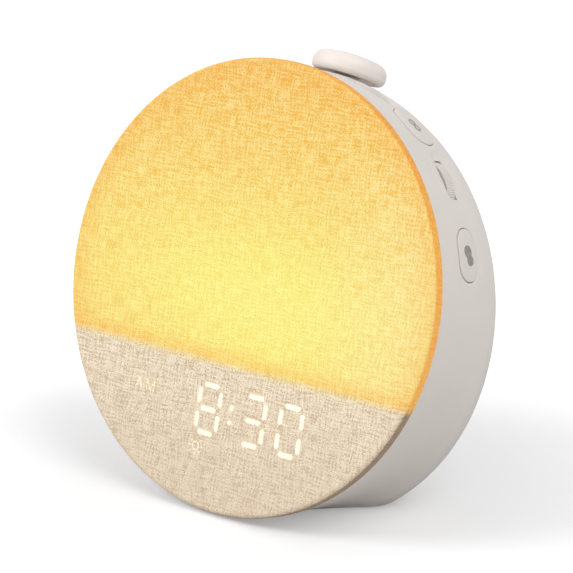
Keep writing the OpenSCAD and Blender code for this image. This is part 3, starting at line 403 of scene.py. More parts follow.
# %% Cloth material
GLOW_X, GLOW_Y, GLOW_R = 12.0, -5.0, 82.0
GLOW_SIDEWAYS, GLOW_BELOW = 0.42, -1.1
GLOW = [(0.0, srgb(253, 253, 154)), (0.2, srgb(253, 252, 153)), (0.33, srgb(253, 247, 154)),
        (0.5, srgb(253, 241, 155)), (0.68, srgb(253, 237, 157)), (1.0, srgb(253, 231, 159))]
UNLIT = [(0.0, srgb(254, 245, 222)), (0.5, srgb(238, 219, 190)), (1.0, srgb(196, 171, 142))]
RIGHT_GLOW, RIM_GLOW, HEM_GLOW = srgb(254, 248, 190), srgb(250, 196, 100), srgb(246, 190, 98)
FRINGE_GLOW, THREAD_GLOW = srgb(252, 196, 108), srgb(240, 200, 122)
# Painted shade: the unlit cloth is made darker towards the bottom, and darker again on the rim's side.
LOW_PAINTED_SHADE, HEM_PAINTED_SHADE = srgb(206, 186, 164), srgb(182, 168, 158)
LIT_BASE, DIGIT_COLOUR = srgb(30, 20, 8), srgb(255, 250, 238)
LAMP_LIGHT, DIGIT_LIGHT = 0.64, 0.46


def linen():
    f = Finish("linen")
    point = f.face_place()
    x, y, z = f.node("SeparateXYZ", point).outputs
    yarn, cover = weave(f, point)
    sideways = f.math("MULTIPLY", f.math("SUBTRACT", x, GLOW_X), GLOW_SIDEWAYS)
    height = f.math("ADD", y, -GLOW_Y)
    height = f.math("MAXIMUM", height, f.math("MULTIPLY", height, GLOW_BELOW))
    spread = f.vector("LENGTH", f.node("CombineXYZ", sideways, height, 0.0).outputs[0])
    share = f.math("DIVIDE", spread, GLOW_R)
    glow = f.ramp(share, GLOW)
    glow = f.mix(f.range(x, 20.0, 80.0, 0.0, 0.55), glow, RIGHT_GLOW)
    reach = f.vector("LENGTH", f.vector("MULTIPLY", point, (1.0, 1.0, 0.0)))
    glow = f.mix(f.range(reach, 72.0, 84.0, 0.0, 0.3), glow, RIM_GLOW)
    side = f.range(z, -0.5, -1.6)
    glow = f.mix(side, glow, HEM_GLOW)
    soft = f.math("MULTIPLY", f.math("SUBTRACT", f.noise(point, 0.5, 2.0), 0.5), 2.2)
    level = f.math("ADD", y, soft)
    lit = f.range(level, -GLOW_EDGE - 2.0, -GLOW_EDGE + 2.4)
    fringe = f.math("MULTIPLY", lit, f.range(level, -GLOW_EDGE + 9.0, -GLOW_EDGE, 0.0, 0.4))
    glow = f.mix(fringe, glow, FRINGE_GLOW)
    speck = f.noise(point, 1.5, 1.0)
    thick = f.range(yarn, 0.4, 0.62, smooth=False)
    held = f.math("ADD", f.math("MULTIPLY", thick, 0.62), f.math("MULTIPLY", cover, 0.14))
    held = f.math("ADD", held, f.range(speck, 0.3, 0.7, 0.0, 0.34, smooth=False))
    strength = f.range(share, 0.1, 0.9, 0.62, 1.3, smooth=False)
    deep = f.mix(1.0, glow, THREAD_GLOW, "MULTIPLY")
    light = f.mix(f.math("MULTIPLY", held, strength, clamp=True), glow, deep)
    time, lines = marks(f, point)
    shine = f.math("MAXIMUM", f.range(time, 0.30, -0.25), f.range(lines, 0.22, -0.16, 0.0, 0.62))
    shine = f.math("MULTIPLY", shine, f.math("SUBTRACT", 1.0, lit))
    dull = f.ramp(held, UNLIT)
    # Painted shade: the unlit cloth is made darker towards the bottom.
    dull = f.mix(f.range(y, -30.0, -80.0, 0.0, 0.3), dull, LOW_PAINTED_SHADE)
    # Painted shade: the unlit cloth is made darker on the rim's side, where it turns away from the light.
    dark = f.mix(side, dull, HEM_PAINTED_SHADE, "MULTIPLY")
    reflected = f.mix(lit, dark, f.mix(0.62, light, LIT_BASE))
    f.put(f.shader.inputs["Base Color"], reflected)
    f.put(f.shader.inputs["Emission Color"], f.mix(shine, light, DIGIT_COLOUR))
    f.put(f.shader.inputs["Emission Strength"],
          f.math("ADD", f.math("MULTIPLY", lit, LAMP_LIGHT), f.math("MULTIPLY", shine, DIGIT_LIGHT)))
    f.shader.inputs["Roughness"].default_value = 0.85
    f.shader.inputs["Specular IOR Level"].default_value = 0.2
    f.shader.inputs["Sheen Weight"].default_value = 0.15
    f.shader.inputs["Sheen Roughness"].default_value = 0.5
    f.bump(f.math("ADD", f.math("MULTIPLY", cover, 0.6), yarn), distance=0.00025, strength=0.6)
    return f.material


linen_finish = linen()
print("linen:", len(linen_finish.node_tree.nodes), "nodes")

# %% [markdown]
# The cloth's shape is a thin lathe piece: flat in front, rounded over the dish's rim and turned in behind
# it as a hem. It was cut as a round blank, 95 mm in radius, and is held stretched.

# %% Cloth
HEM_R, AROUND = 79.5, 256
front_bend, back_bend = (FACE_R - RIM_ROUND, -RIM_ROUND), (FACE_R - RIM_BACK, -RIM_DEPTH + RIM_BACK)
rim_outer = ([(0, 0), (30, 0), (60, 0)] + arc(front_bend, RIM_ROUND, 90, 0, 10)
             + arc(back_bend, RIM_BACK, 0, -90, 7) + [(HEM_R, -RIM_DEPTH)])
rim_inner = ([(HEM_R, -RIM_DEPTH + CLOTH_T)] + arc(back_bend, RIM_BACK - CLOTH_T, -90, 0, 7)
             + arc(front_bend, RIM_ROUND - CLOTH_T, 0, 90, 10)
             + [(60, -CLOTH_T), (30, -CLOTH_T), (0, -CLOTH_T)])
cloth = finish_piece(lathe(rim_outer + rim_inner, AROUND), "linen_front", linen_finish, "clock",
                     ["front_cloth"])

# %% [markdown]
# ## The shell
# The shell is one moulding: round where it meets the front, drooping into a low dome behind. It is a
# stack of circles, each a little lower and smaller than the one before, joined into a skin. That gives a
# clean net of squares, which shades better than the long triangles of a solid model.

# %% Shell plastic


def moulded_plastic(name, colour, roughness, grain=0.00002):
    """Fine matt plastic: even colour, with the faint grain of its mould."""
    f = Finish(name, Roughness=roughness)
    point = f.place()
    cloud = f.noise(point, 35.0, 3.0)
    base = f.mix(f.range(cloud, 0.3, 0.7), colour, tinted(colour, 0.975))
    f.put(f.shader.inputs["Base Color"], base)
    f.put(f.shader.inputs["Roughness"], f.range(cloud, 0.2, 0.8, roughness - 0.04, roughness + 0.05))
    f.shader.inputs["Specular IOR Level"].default_value = 0.42
    f.bump(f.noise(point, 2600.0, 2.0), grain, 0.35)
    return f.material


shell_finish = moulded_plastic("shell_plastic", srgb(224, 217, 211), 0.46)
knob_finish = moulded_plastic("knob_plastic", srgb(236, 228, 221), 0.42)
cap_finish = moulded_plastic("button_plastic", srgb(222, 215, 209), 0.44)
wheel_finish = moulded_plastic("wheel_plastic", srgb(226, 219, 213), 0.5)
print("plastics:", shell_finish.name, knob_finish.name, cap_finish.name, wheel_finish.name)

# %% [markdown]
# ### Soft edges round the controls
# The thumbwheels sit in shallow scoops, each with its middle a little behind the wheel's own, and the
# buttons in holes with slightly rounded lips. A cut would leave hard edges, so the skin is pressed in by
# hand, so to say: each point near a control moves inwards by an amount that depends on how far it is from
# a rounded outline. Slots for the wheels and holes for the buttons are cut through afterwards.

# %% Controls on the shell
SOUND_ANGLE, VOLUME_ANGLE, LIGHT_ANGLE, BRIGHT_ANGLE = 19.2, 39.7, 56.5, 72.8
BUTTON_S, BUTTON_LEN, BUTTON_W, BUTTON_GAP = 25.0, 19.6, 12.4, 0.25
WHEEL_S, WHEEL_R, WHEEL_W, WHEEL_GAP, WHEEL_PROUD = 25.0, 13.0, 6.0, 0.5, 0.3
SCOOP_LEN, SCOOP_W, SCOOP_DEPTH, SCOOP_BACK = 24.0, 12.0, 1.6, 1.4
SCOOP_R = (SCOOP_W ** 2 / 4 + SCOOP_DEPTH ** 2) / (2 * SCOOP_DEPTH)
SCOOP_SOFT, SCOOP_REACH = 0.02, (20, 12)
LIP_W, LIP_DEPTH, LIP_REACH = 0.75, 0.28, (16, 10)
WHEEL_AXIS_R = section_r(WHEEL_S) + WHEEL_PROUD - WHEEL_R


def pill_distance(a, b, length, width):
    """Distance from a point to a pill's outline, in millimetres: less than nought inside it."""
    half = (length - width) / 2
    return math.hypot(max(abs(a) - half, 0.0), b) - width / 2


def pressed_in(angle, s):
    """How far the skin is pressed in at an angle round the disc and a depth."""
    deep = 0.0
    for at in (VOLUME_ANGLE, BRIGHT_ANGLE):
        a, b = math.radians(angle - at) * section_r(s), s - WHEEL_S - SCOOP_BACK
        if abs(a) < SCOOP_REACH[0] and abs(b) < SCOOP_REACH[1]:
            reach = pill_distance(a, b, SCOOP_LEN, SCOOP_W) + SCOOP_W / 2
            hollow = math.sqrt(max(0.0, SCOOP_R ** 2 - reach ** 2)) - SCOOP_R + SCOOP_DEPTH
            soft = (hollow + math.sqrt(hollow ** 2 + SCOOP_SOFT)) / 2
            deep = max(deep, soft if reach < SCOOP_R else 0.0)
    for at in (SOUND_ANGLE, LIGHT_ANGLE):
        a, b = math.radians(angle - at) * section_r(s), s - BUTTON_S
        if abs(a) < LIP_REACH[0] and abs(b) < LIP_REACH[1]:
            outside = pill_distance(a, b, BUTTON_LEN + 2 * BUTTON_GAP, BUTTON_W + 2 * BUTTON_GAP)
            share = min(1.0, max(0.0, 1 - outside / LIP_W))
            deep = max(deep, LIP_DEPTH * share * share)
    return deep


print("pressed in at a wheel and at a button's lip, mm:",
      round(pressed_in(BRIGHT_ANGLE, WHEEL_S + SCOOP_BACK), 2),
      round(pressed_in(LIGHT_ANGLE, BUTTON_S + BUTTON_W / 2 + BUTTON_GAP), 2))

# %% Skin of the shell
SEAM, FLANK_RINGS, LAST_DEGREES = (0.15, 6.8, 8.2), 24, 89.3
dome = SHELL_DEPTH - DOME_START
depths = [SHELL_FRONT + SEAM[0], *SEAM[1:]]
depths += [SEAM[2] + (DOME_START - SEAM[2]) * i / FLANK_RINGS for i in range(1, FLANK_RINGS + 1)]
depths += [DOME_START + dome * math.sin(math.radians(a)) for a in (*range(3, 88, 3), LAST_DEGREES)]
skin = bmesh.new()
rings = []
for s in depths:
    place = Matrix.Translation((0, section_y(s), -s))
    made = bmesh.ops.create_circle(skin, segments=AROUND, radius=section_r(s), matrix=place)
    ring = list({e for v in made["verts"] for e in v.link_edges})
    if rings:
        bmesh.ops.bridge_loops(skin, edges=rings[-1] + ring)
    rings.append(ring)
bmesh.ops.holes_fill(skin, edges=rings[-1] + rings[0], sides=AROUND)
bmesh.ops.recalc_face_normals(skin, faces=skin.faces)


FINE_FROM, FINE_TO, FINE_ANGLE = 13, 33, 9.5
PRESS_FROM, PRESS_TO = 12, 34


def near_control(face):
    """True if a face of the skin is by a control, where it needs finer squares."""
    c = face.calc_center_median()
    if not FINE_FROM < -c.z < FINE_TO:
        return False
    angle = math.degrees(math.atan2(c.y, c.x))
    controls = (SOUND_ANGLE, VOLUME_ANGLE, LIGHT_ANGLE, BRIGHT_ANGLE)
    return any(abs(angle - at) < FINE_ANGLE for at in controls)


for _ in range(2):
    edges = list({e for face in skin.faces if near_control(face) for e in face.edges})
    bmesh.ops.subdivide_edges(skin, edges=edges, cuts=1, use_grid_fill=True)
for v in skin.verts:
    s = -v.co.z
    if PRESS_FROM < s < PRESS_TO:
        out = Vector((v.co.x, v.co.y - section_y(s), 0))
        angle = math.degrees(math.atan2(out.y, out.x))
        radius = section_r(s) - pressed_in(angle, s)
        out = out.normalized() * radius
        v.co.x, v.co.y = out.x, out.y + section_y(s)
print("skin:", len(skin.verts), "vertices")

# %% [markdown]
# ### Base, wall and openings
# A level cut gives the shell its foot. The skin is then given its wall, and cutters take out what goes
# through it: the buttons' holes, the wheels' slots, the knob's hole, the speaker's grille, the power
# socket and the pad's shallow seat.

# %% Foot
down = FACE.inverted().to_3x3() @ Vector((0, 0, -1))
foot = FACE.inverted() @ Vector((0, 0, PAD_PROUD * MM))
geometry = skin.verts[:] + skin.edges[:] + skin.faces[:]
cut = bmesh.ops.bisect_plane(skin, geom=geometry, plane_co=foot, plane_no=down, clear_outer=True)
sole = [e for e in cut["geom_cut"] if isinstance(e, bmesh.types.BMEdge)]
made = bmesh.ops.contextual_create(skin, geom=sole)
bmesh.ops.recalc_face_normals(skin, faces=skin.faces)
mouth = [f for f in skin.faces if all(v.co.z > -SHELL_FRONT - 0.2 for v in f.verts)]
bmesh.ops.delete(skin, geom=mouth, context="FACES_ONLY")
print("foot: level cut with", len(sole), "edges,", len(made["faces"]), "face;",
      "mouth opened:", len(mouth), "face")

# %% [markdown]
# Cutters are plain solids: a drum for a round hole and a pill-shaped bar for a button's hole. A place on
# the side is given by its angle round the disc and its depth.

# %% Solids for cutting


def only_verts(geometry):
    return [g for g in geometry if isinstance(g, bmesh.types.BMVert)]


def drum_at(bm, radius, length, place, segments=48):
    bmesh.ops.create_cone(bm, cap_ends=True, segments=segments, radius1=radius, radius2=radius,
                          depth=length, matrix=place)


def at_side(angle, s):
    """Frame on the disc's axis: X outwards, Y along the curve, Z to the front."""
    return Matrix.Rotation(math.radians(angle), 4, "Z") @ Matrix.Translation((0, 0, -s))


def flat_pill(bm, length, width, segments=64):
    """Flat pill, its length along X, as one face: a circle with its halves moved apart."""
    half = (length - width) / 2
    verts = bmesh.ops.create_circle(bm, cap_ends=True, segments=segments, radius=width / 2)["verts"]
    for v in verts:
        v.co.x += half if v.co.x > 1e-6 else -half if v.co.x < -1e-6 else 0
    return verts[0].link_faces[0]


def raised(bm, face, low, high):
    """Moves a face to one height and extrudes it to another. Gives the lower and the upper corners."""
    near = face.verts[:]
    bmesh.ops.translate(bm, verts=near, vec=(0, 0, low))
    far = only_verts(bmesh.ops.extrude_face_region(bm, geom=[face])["geom"])
    bmesh.ops.translate(bm, verts=far, vec=(0, 0, high - low))
    return near, far


def pill_prism(bm, length, width, low, high, place, segments=48):
    """Pill-shaped bar along X of its frame, its length along Y."""
    near, far = raised(bm, flat_pill(bm, length, width, segments), low, high)
    lie = Matrix(((0, 0, 1, 0), (1, 0, 0, 0), (0, 1, 0, 0), (0, 0, 0, 1)))
    bmesh.ops.transform(bm, matrix=place @ lie, verts=near + far)


print("light button's place on the disc's axis:", at_side(LIGHT_ANGLE, BUTTON_S).translation[:])

# %% [markdown]
# The knob stands on its own tilted axis, which starts on the skin. Its hole, the buttons' holes and the
# wheels' slots go through the right side and the top, and the speaker's grille through the back.

# %% Cutters
KNOB_S, KNOB_ANGLE, KNOB_LEAN, KNOB_GAP = 37.5, math.radians(88), math.radians(10.5), 1.3
KNOB = (Matrix.Translation((0, section_y(KNOB_S), -KNOB_S))
        @ Matrix.Rotation(KNOB_ANGLE - math.radians(90), 4, "Z")
        @ Matrix.Translation((0, section_r(KNOB_S), 0))
        @ Matrix.Rotation(-math.radians(90) - KNOB_LEAN, 4, "X"))
KNOB_HOLE_R, HOLE_DEPTH = 5.4, 16
CUT_FROM, CUT_TO = 74, 90
SPEAKER_Y, GRILLE_PITCH, GRILLE_R, GRILLE_DEPTH = -14.0, 5.0, 1.2, 12

cutters = []


def cutter(name, fill, place=FACE):
    bm = bmesh.new()
    fill(bm)
    bm.transform(place)
    bmesh.ops.recalc_face_normals(bm, faces=bm.faces)
    mesh = bpy.data.meshes.new(name)
    bm.to_mesh(mesh)
    bm.free()
    tool = bpy.data.objects.new(name, mesh)
    bpy.context.scene.collection.objects.link(tool)
    cutters.append(tool)


def control_holes(bm):
    for at in (SOUND_ANGLE, LIGHT_ANGLE):
        pill_prism(bm, BUTTON_LEN + 2 * BUTTON_GAP, BUTTON_W + 2 * BUTTON_GAP, CUT_FROM, CUT_TO,
                   at_side(at, BUTTON_S))
    for at in (VOLUME_ANGLE, BRIGHT_ANGLE):
        axle = at_side(at, WHEEL_S) @ Matrix.Translation((WHEEL_AXIS_R, 0, 0))
        drum_at(bm, WHEEL_R + WHEEL_GAP, WHEEL_W + WHEEL_GAP, axle, 128)
    drum_at(bm, KNOB_HOLE_R, HOLE_DEPTH, KNOB)


def grille_holes(bm):
    spots = [(0, 0)] + [(k * GRILLE_PITCH, i * 60 / k) for k in (1, 2, 3) for i in range(6 * k)]
    for reach, angle in spots:
        a = math.radians(angle)
        at = (reach * math.cos(a), SPEAKER_Y + reach * math.sin(a), -SHELL_DEPTH + 2)
        drum_at(bm, GRILLE_R, GRILLE_DEPTH, Matrix.Translation(at), 24)


cutter("cut_controls", control_holes)
cutter("cut_grille", grille_holes)
print("cutters so far:", [tool.name for tool in cutters])

# %% [markdown]
# The power socket has a narrow hole with a wider rim behind it. The pad has three rounded corners: the
# hull of three circles is its outline, and a slightly larger one gives its seat. Both stand level.

# %% Socket and seat
LEVEL = Matrix.Scale(MM, 4)
INLET_Z, INLET_NOSE_Y = 14.0, 41.34
PAD_LEN, PAD_W, PAD_T = 56.0, 76.0, 2.0
PAD_FRONT_R, PAD_BACK_R = 9, 12
SEAT_GAP, SEAT_TOP, SEAT_BELOW = 0.2, 0.05, 2


def pad_outline(bm, grow):
    """Rounded three-cornered outline of the base pad, as one face."""
    side = PAD_W / 2 - PAD_BACK_R
    corners = [((0, -PAD_LEN / 2 + PAD_FRONT_R), PAD_FRONT_R),
               ((side, PAD_LEN / 2 - PAD_BACK_R), PAD_BACK_R), ((-side, PAD_LEN / 2 - PAD_BACK_R), PAD_BACK_R)]
    for (x, y), radius in corners:
        bmesh.ops.create_circle(bm, segments=64, radius=radius + grow, matrix=Matrix.Translation((x, y, 0)))
    hull = bmesh.ops.convex_hull(bm, input=bm.verts)
    spare = only_verts(hull["geom_interior"] + hull["geom_unused"])
    bmesh.ops.delete(bm, geom=spare, context="VERTS")


def pad_seat(bm):
    """Slab a little larger than the pad."""
    pad_outline(bm, SEAT_GAP)
    low = bm.verts[:]
    bmesh.ops.translate(bm, verts=low, vec=(0, 0, -SEAT_BELOW))
    copy = only_verts(bmesh.ops.duplicate(bm, geom=low)["geom"])
    bmesh.ops.translate(bm, verts=copy, vec=(0, 0, SEAT_BELOW + PAD_T + SEAT_TOP))
    faces = bm.faces[:]
    bmesh.ops.delete(bm, geom=faces, context="FACES_ONLY")
    bmesh.ops.convex_hull(bm, input=bm.verts)


to_back = Matrix.Rotation(math.radians(-90), 4, "X")
for name, radius, length, y in (("cut_socket", 4.1, 16, 0), ("cut_socket_rim", 5.9, 10, 5)):
    spot = Matrix.Translation((0, INLET_NOSE_Y + y, INLET_Z)) @ to_back
    cutter(name, lambda bm: drum_at(bm, radius, length, spot), LEVEL)
cutter("cut_pad", pad_seat, LEVEL)
print("cutters:", [tool.name for tool in cutters])

# %% [markdown]
# A Boolean modifier for each cutter does the cutting, after a Solidify modifier has given the skin its
# wall. Their result is then applied, and the cutters are thrown away.

# %% Shell


def combine(base, others, operation):
    """Cuts or joins other objects to a piece, applies its modifiers and removes the others."""
    for other in others:
        step = base.modifiers.new(other.name, "BOOLEAN")
        step.operation, step.solver, step.object = operation, "EXACT", other
    bpy.context.view_layer.update()
    graph = bpy.context.evaluated_depsgraph_get()
    mesh = bpy.data.meshes.new_from_object(base.evaluated_get(graph), depsgraph=graph)
    base.modifiers.clear()
    base.data = mesh
    for other in others:
        bpy.data.objects.remove(other)


shell = finish_piece(skin, "shell_moulding", shell_finish, "clock", ["rear_shell"], crease=30)
wall = shell.modifiers.new("wall", "SOLIDIFY")
wall.thickness, wall.offset, wall.use_even_offset = WALL * MM, -1, False
combine(shell, cutters, "DIFFERENCE")


def crease_by_angle(piece, degrees):
    """Marks the sharp edges of a cut piece and smooths the rest."""
    bm = bmesh.new()
    bm.from_mesh(piece.data)
    bmesh.ops.remove_doubles(bm, verts=bm.verts, dist=1e-6)
    for edge in bm.edges:
        edge.smooth = len(edge.link_faces) == 2 and edge.calc_face_angle(0) < math.radians(degrees)
    for face in bm.faces:
        face.smooth = True
    bm.to_mesh(piece.data)
    bm.free()


crease_by_angle(shell, 30)
print("carved shell:", len(shell.data.vertices), "vertices")

# %% [markdown]
# ## Knob
# The knob is a rounded disc on a short stem. One outline turned about its own tilted axis makes the disc,
# with a generous radius on top, a smaller one below and a crown so low that it only shows in the shine. A
# shallow hollow under it leaves room over the curved shell when the knob is pressed.

# %% Knob
KNOB_R, KNOB_T, EDGE_R, FOOT_R, CROWN_R = 14.4, 8.8, 4.4, 2.2, 62.0
HOLLOW, HOLLOW_R, HOLLOW_SLOPE = 0.5, 11.2, 0.7
STEM_R, STEM_LOW, STEM_SUNK = 5.0, -3.2, 0.6
CROWN_SHARE = 0.6
crown = KNOB_T - KNOB_R ** 2 / (2 * CROWN_R) * CROWN_SHARE
shoulder = crown - EDGE_R
knob_outline = ([(0, KNOB_GAP + HOLLOW), (STEM_R, KNOB_GAP + HOLLOW), (HOLLOW_R, KNOB_GAP + HOLLOW),
                 (HOLLOW_R + HOLLOW_SLOPE, KNOB_GAP)]
                + [(r, z + KNOB_GAP) for r, z in arc((KNOB_R - FOOT_R, FOOT_R), FOOT_R, -90, 0, 8)]
                + [(r, z + KNOB_GAP) for r, z in arc((KNOB_R - EDGE_R, shoulder), EDGE_R, 0, 72, 12)])
edge_end = knob_outline[-1]
steps = 8
knob_outline += [(edge_end[0] * (1 - i / steps),
                  edge_end[1] + (KNOB_T + KNOB_GAP - edge_end[1]) * (1 - (1 - i / steps) ** 2))
                 for i in range(1, steps + 1)]
bm = lathe(knob_outline, 128)
STEM_TOP = KNOB_GAP + HOLLOW + STEM_SUNK
drum_at(bm, STEM_R, STEM_TOP - STEM_LOW, Matrix.Translation((0, 0, (STEM_TOP + STEM_LOW) / 2)), 64)
knob = finish_piece(bm, "knob_disc", knob_finish, "knob", ["knob_cap"], place=FACE @ KNOB)

# %% [markdown]
# ## Buttons
# A button's cap follows the shell's curve. It is drawn flat, as a pill with its upper edge rounded over,
# and then wrapped: the length becomes an angle round the disc, and the height a distance from its axis. A
# flange inside the wall keeps the cap from falling out, and a stem reaches in to the switch.

# %% Button caps
CAP_LOW, CAP_PROUD, CAP_ROUND, SLICES = 3.4, 0.32, 0.55, 24
FLANGE_MORE, FLANGE_BACK, FLANGE_T = 2, 1.5, 1.2
KEY_STEM_R, KEY_STEM_LEN, KEY_STEM_AT = 2.5, 5.4, 77


def wrap(bm, angle, s):
    """Bends a flat drawing (X along the curve, Y to the front, Z outwards) round the shell."""
    middle = section_r(s)
    for v in bm.verts:
        a = math.radians(angle) + v.co.x / middle
        depth = s - v.co.y
        radius = section_r(depth) + v.co.z
        v.co = Vector((radius * math.cos(a), radius * math.sin(a) + section_y(depth), -depth))
    if bm.faces:
        bmesh.ops.recalc_face_normals(bm, faces=bm.faces)


def slice_along(bm, length, count):
    """Cuts a flat drawing across, so that it can bend."""
    for i in range(1, count):
        geometry = bm.verts[:] + bm.edges[:] + bm.faces[:]
        bmesh.ops.bisect_plane(bm, geom=geometry, plane_co=(length * (i / count - 0.5), 0, 0),
                               plane_no=(1, 0, 0))


def button_cap(name, angle, body, replaced):
    bm = bmesh.new()
    verts = raised(bm, flat_pill(bm, BUTTON_LEN, BUTTON_W), -CAP_LOW, CAP_PROUD)[1]
    rim = [e for e in bm.edges if all(v in verts for v in e.verts)]
    bmesh.ops.bevel(bm, geom=rim, offset=CAP_ROUND, segments=4, profile=0.5, affect="EDGES", material=-1)
    slice_along(bm, BUTTON_LEN, SLICES)
    wrap(bm, angle, BUTTON_S)
    stem = Matrix.Translation((KEY_STEM_AT, 0, 0)) @ Matrix.Rotation(math.radians(90), 4, "Y")
    drum_at(bm, KEY_STEM_R, KEY_STEM_LEN, at_side(angle, BUTTON_S) @ stem, 32)
    flange = bmesh.new()
    low = -WALL - FLANGE_BACK
    raised(flange, flat_pill(flange, BUTTON_LEN + FLANGE_MORE, BUTTON_W + FLANGE_MORE), low, low + FLANGE_T)
    slice_along(flange, BUTTON_LEN + FLANGE_MORE, SLICES)
    wrap(flange, angle, BUTTON_S)
    mesh = bpy.data.meshes.new("flange")
    flange.to_mesh(mesh)
    flange.free()
    bm.from_mesh(mesh)
    bpy.data.meshes.remove(mesh)
    finish_piece(bm, name, cap_finish, body, [replaced])


button_cap("light_cap", LIGHT_ANGLE, "light_key", "light_button")
button_cap("sound_cap", SOUND_ANGLE, "sound_key", "sound_button")

# %% [markdown]
# Each cap has a small printed sign: two thin loops that touch on the light button, and two rounds that
# overlap, filled in, on the sound button. They are flat shapes, hardly thicker than paint, wrapped on like
# the caps.

# %% Printed signs
SIGN_T, SIGN_AT, SIGN_LEN = 0.12, 0.36, 12
ink = Finish("grey_ink", Roughness=0.6)
speckle = ink.range(ink.noise(ink.place(), 900.0), 0.35, 0.65)
ink.put(ink.shader.inputs["Base Color"], ink.mix(speckle, srgb(140, 136, 131), srgb(151, 147, 142)))


def drums(name, rounds, grow, thick):
    """One flat drum for each round, as a list of objects."""
    parts = []
    for i, (x, y, radius) in enumerate(rounds):
        bm = bmesh.new()
        drum_at(bm, radius + grow, thick, Matrix.Translation((x, y, SIGN_AT)), 48)
        mesh = bpy.data.meshes.new(f"{name}_{i}")
        bm.to_mesh(mesh)
        bm.free()
        part = bpy.data.objects.new(mesh.name, mesh)
        bpy.context.scene.collection.objects.link(part)
        parts.append(part)
    return parts


def printed(name, angle, body, rounds, line):
    """Sign on a cap: filled in, or in outline where a line's width is given."""
    shape, *rest = drums(name, rounds, 0.0, SIGN_T)
    combine(shape, rest, "UNION")
    if line:
        for inner in drums(name + "_inner", rounds, -line, 5 * SIGN_T):
            combine(shape, [inner], "DIFFERENCE")
    bm = bmesh.new()
    bm.from_mesh(shape.data)
    bpy.data.objects.remove(shape)
    slice_along(bm, SIGN_LEN, SLICES)
    wrap(bm, angle, BUTTON_S)
    finish_piece(bm, name, ink.material, body)


LOBES = [(-1.9, -0.5, 2.0), (1.2, 0.5, 2.3)]
LOOPS = [(-1.5, -0.2, 1.5), (1.5, 0.2, 1.5)]
printed("light_sign", LIGHT_ANGLE, "light_key", LOOPS, 0.3)
printed("sound_sign", SOUND_ANGLE, "sound_key", LOBES, 0.0)

# %% [markdown]
# ## Thumbwheels
# Each wheel has fine ribs all round, so that a finger can turn it. One rounded rib is a row of six points,
# each with its share of the step and its height. The row is repeated round the axle as many times as there
# are ribs, and the outline is filled, inset, mirrored and bridged.

# %% Thumbwheels
RIBS = 96
RIB = ((0.0, -0.36), (0.18, -0.32), (0.32, -0.08), (0.5, 0.0), (0.68, -0.08), (0.82, -0.32))
RING_W, DISH_EDGE, DISH_DEPTH = 1.2, 0.6, 0.5


def thumbwheel(name, angle, body, replaced):
    bm = bmesh.new()
    step = math.tau / RIBS
    spots = [(WHEEL_R + h, (i + p) * step) for i in range(RIBS) for p, h in RIB]
    face = bm.faces.new([bm.verts.new((r * math.cos(a), r * math.sin(a), -WHEEL_W / 2)) for r, a in spots])
    bmesh.ops.inset_region(bm, faces=[face], thickness=RING_W)
    bmesh.ops.inset_region(bm, faces=[face], thickness=DISH_EDGE, depth=DISH_DEPTH)
    faces = bm.faces[:]
    bmesh.ops.mirror(bm, geom=bm.verts[:] + bm.edges[:] + faces, axis="Z", merge_dist=1e-5)
    edges = [e for e in bm.edges if e.is_boundary]
    bmesh.ops.bridge_loops(bm, edges=edges)
    bmesh.ops.recalc_face_normals(bm, faces=bm.faces)
    place = FACE @ at_side(angle, WHEEL_S) @ Matrix.Translation((WHEEL_AXIS_R, 0, 0))
    finish_piece(bm, name, wheel_finish, body, [replaced], place=place, crease=50)


thumbwheel("brightness_thumbwheel", BRIGHT_ANGLE, "brightness_dial", "brightness_wheel")
thumbwheel("volume_thumbwheel", VOLUME_ANGLE, "volume_dial", "volume_wheel")

# %% [markdown]
# ## Foot pad
# A rubber pad keeps the clock from sliding. Its lower edge is rounded and its rubber a little uneven.

# %% Foot pad
PAD_ROUND = 0.35


def rubber(name, colour):
    f = Finish(name, Roughness=0.8)
    cloud = f.noise(f.place(), 220.0, 4.0)
    f.put(f.shader.inputs["Base Color"], f.mix(cloud, colour, tinted(colour, 0.82)))
    f.shader.inputs["Specular IOR Level"].default_value = 0.3
    f.bump(f.noise(f.place(), 1500.0, 3.0), 0.00005, 0.5)
    return f.material


pad_finish = rubber("foot_rubber", srgb(176, 171, 166))
bm = bmesh.new()
pad_outline(bm, 0.0)
bmesh.ops.dissolve_limit(bm, angle_limit=0.01, verts=bm.verts[:], edges=bm.edges[:])
face = max(bm.faces, key=lambda f: f.calc_area())
raised(bm, face, 0, PAD_T)
bmesh.ops.recalc_face_normals(bm, faces=bm.faces)
low = [e for e in bm.edges if all(v.co.z < 0.01 for v in e.verts)]
bmesh.ops.bevel(bm, geom=low, offset=PAD_ROUND, segments=3, profile=0.5, affect="EDGES", material=-1)
pad = finish_piece(bm, "foot_pad", pad_finish, "clock", ["base_pad"], place=LEVEL)

# %% [markdown]
# ## Finishes for what is inside
# The parts inside hardly show, but each gets the finish that it has in a real clock, so that it holds up
# when the clock is opened or cut in a drawing: lacquered boards, plated metal, white and black mouldings,
# pressed paper and rubber.

# %% Finishes for what is inside


def metal(name, colour, roughness):
    f = Finish(name, Metallic=1.0, Roughness=roughness)
    point = f.place()
    lines = f.noise(f.vector("MULTIPLY", point, (300.0, 4000.0, 4000.0)), 1.0, 2.0)
    cloud = f.range(f.noise(point, 120.0, 3.0), 0.35, 0.65)
    f.put(f.shader.inputs["Base Color"], f.mix(cloud, colour, tinted(colour, 0.9)))
    f.put(f.shader.inputs["Roughness"], f.range(lines, 0.3, 0.7, roughness - 0.05, roughness + 0.1))
    f.bump(lines, 0.00001, 0.3)
    return f.material


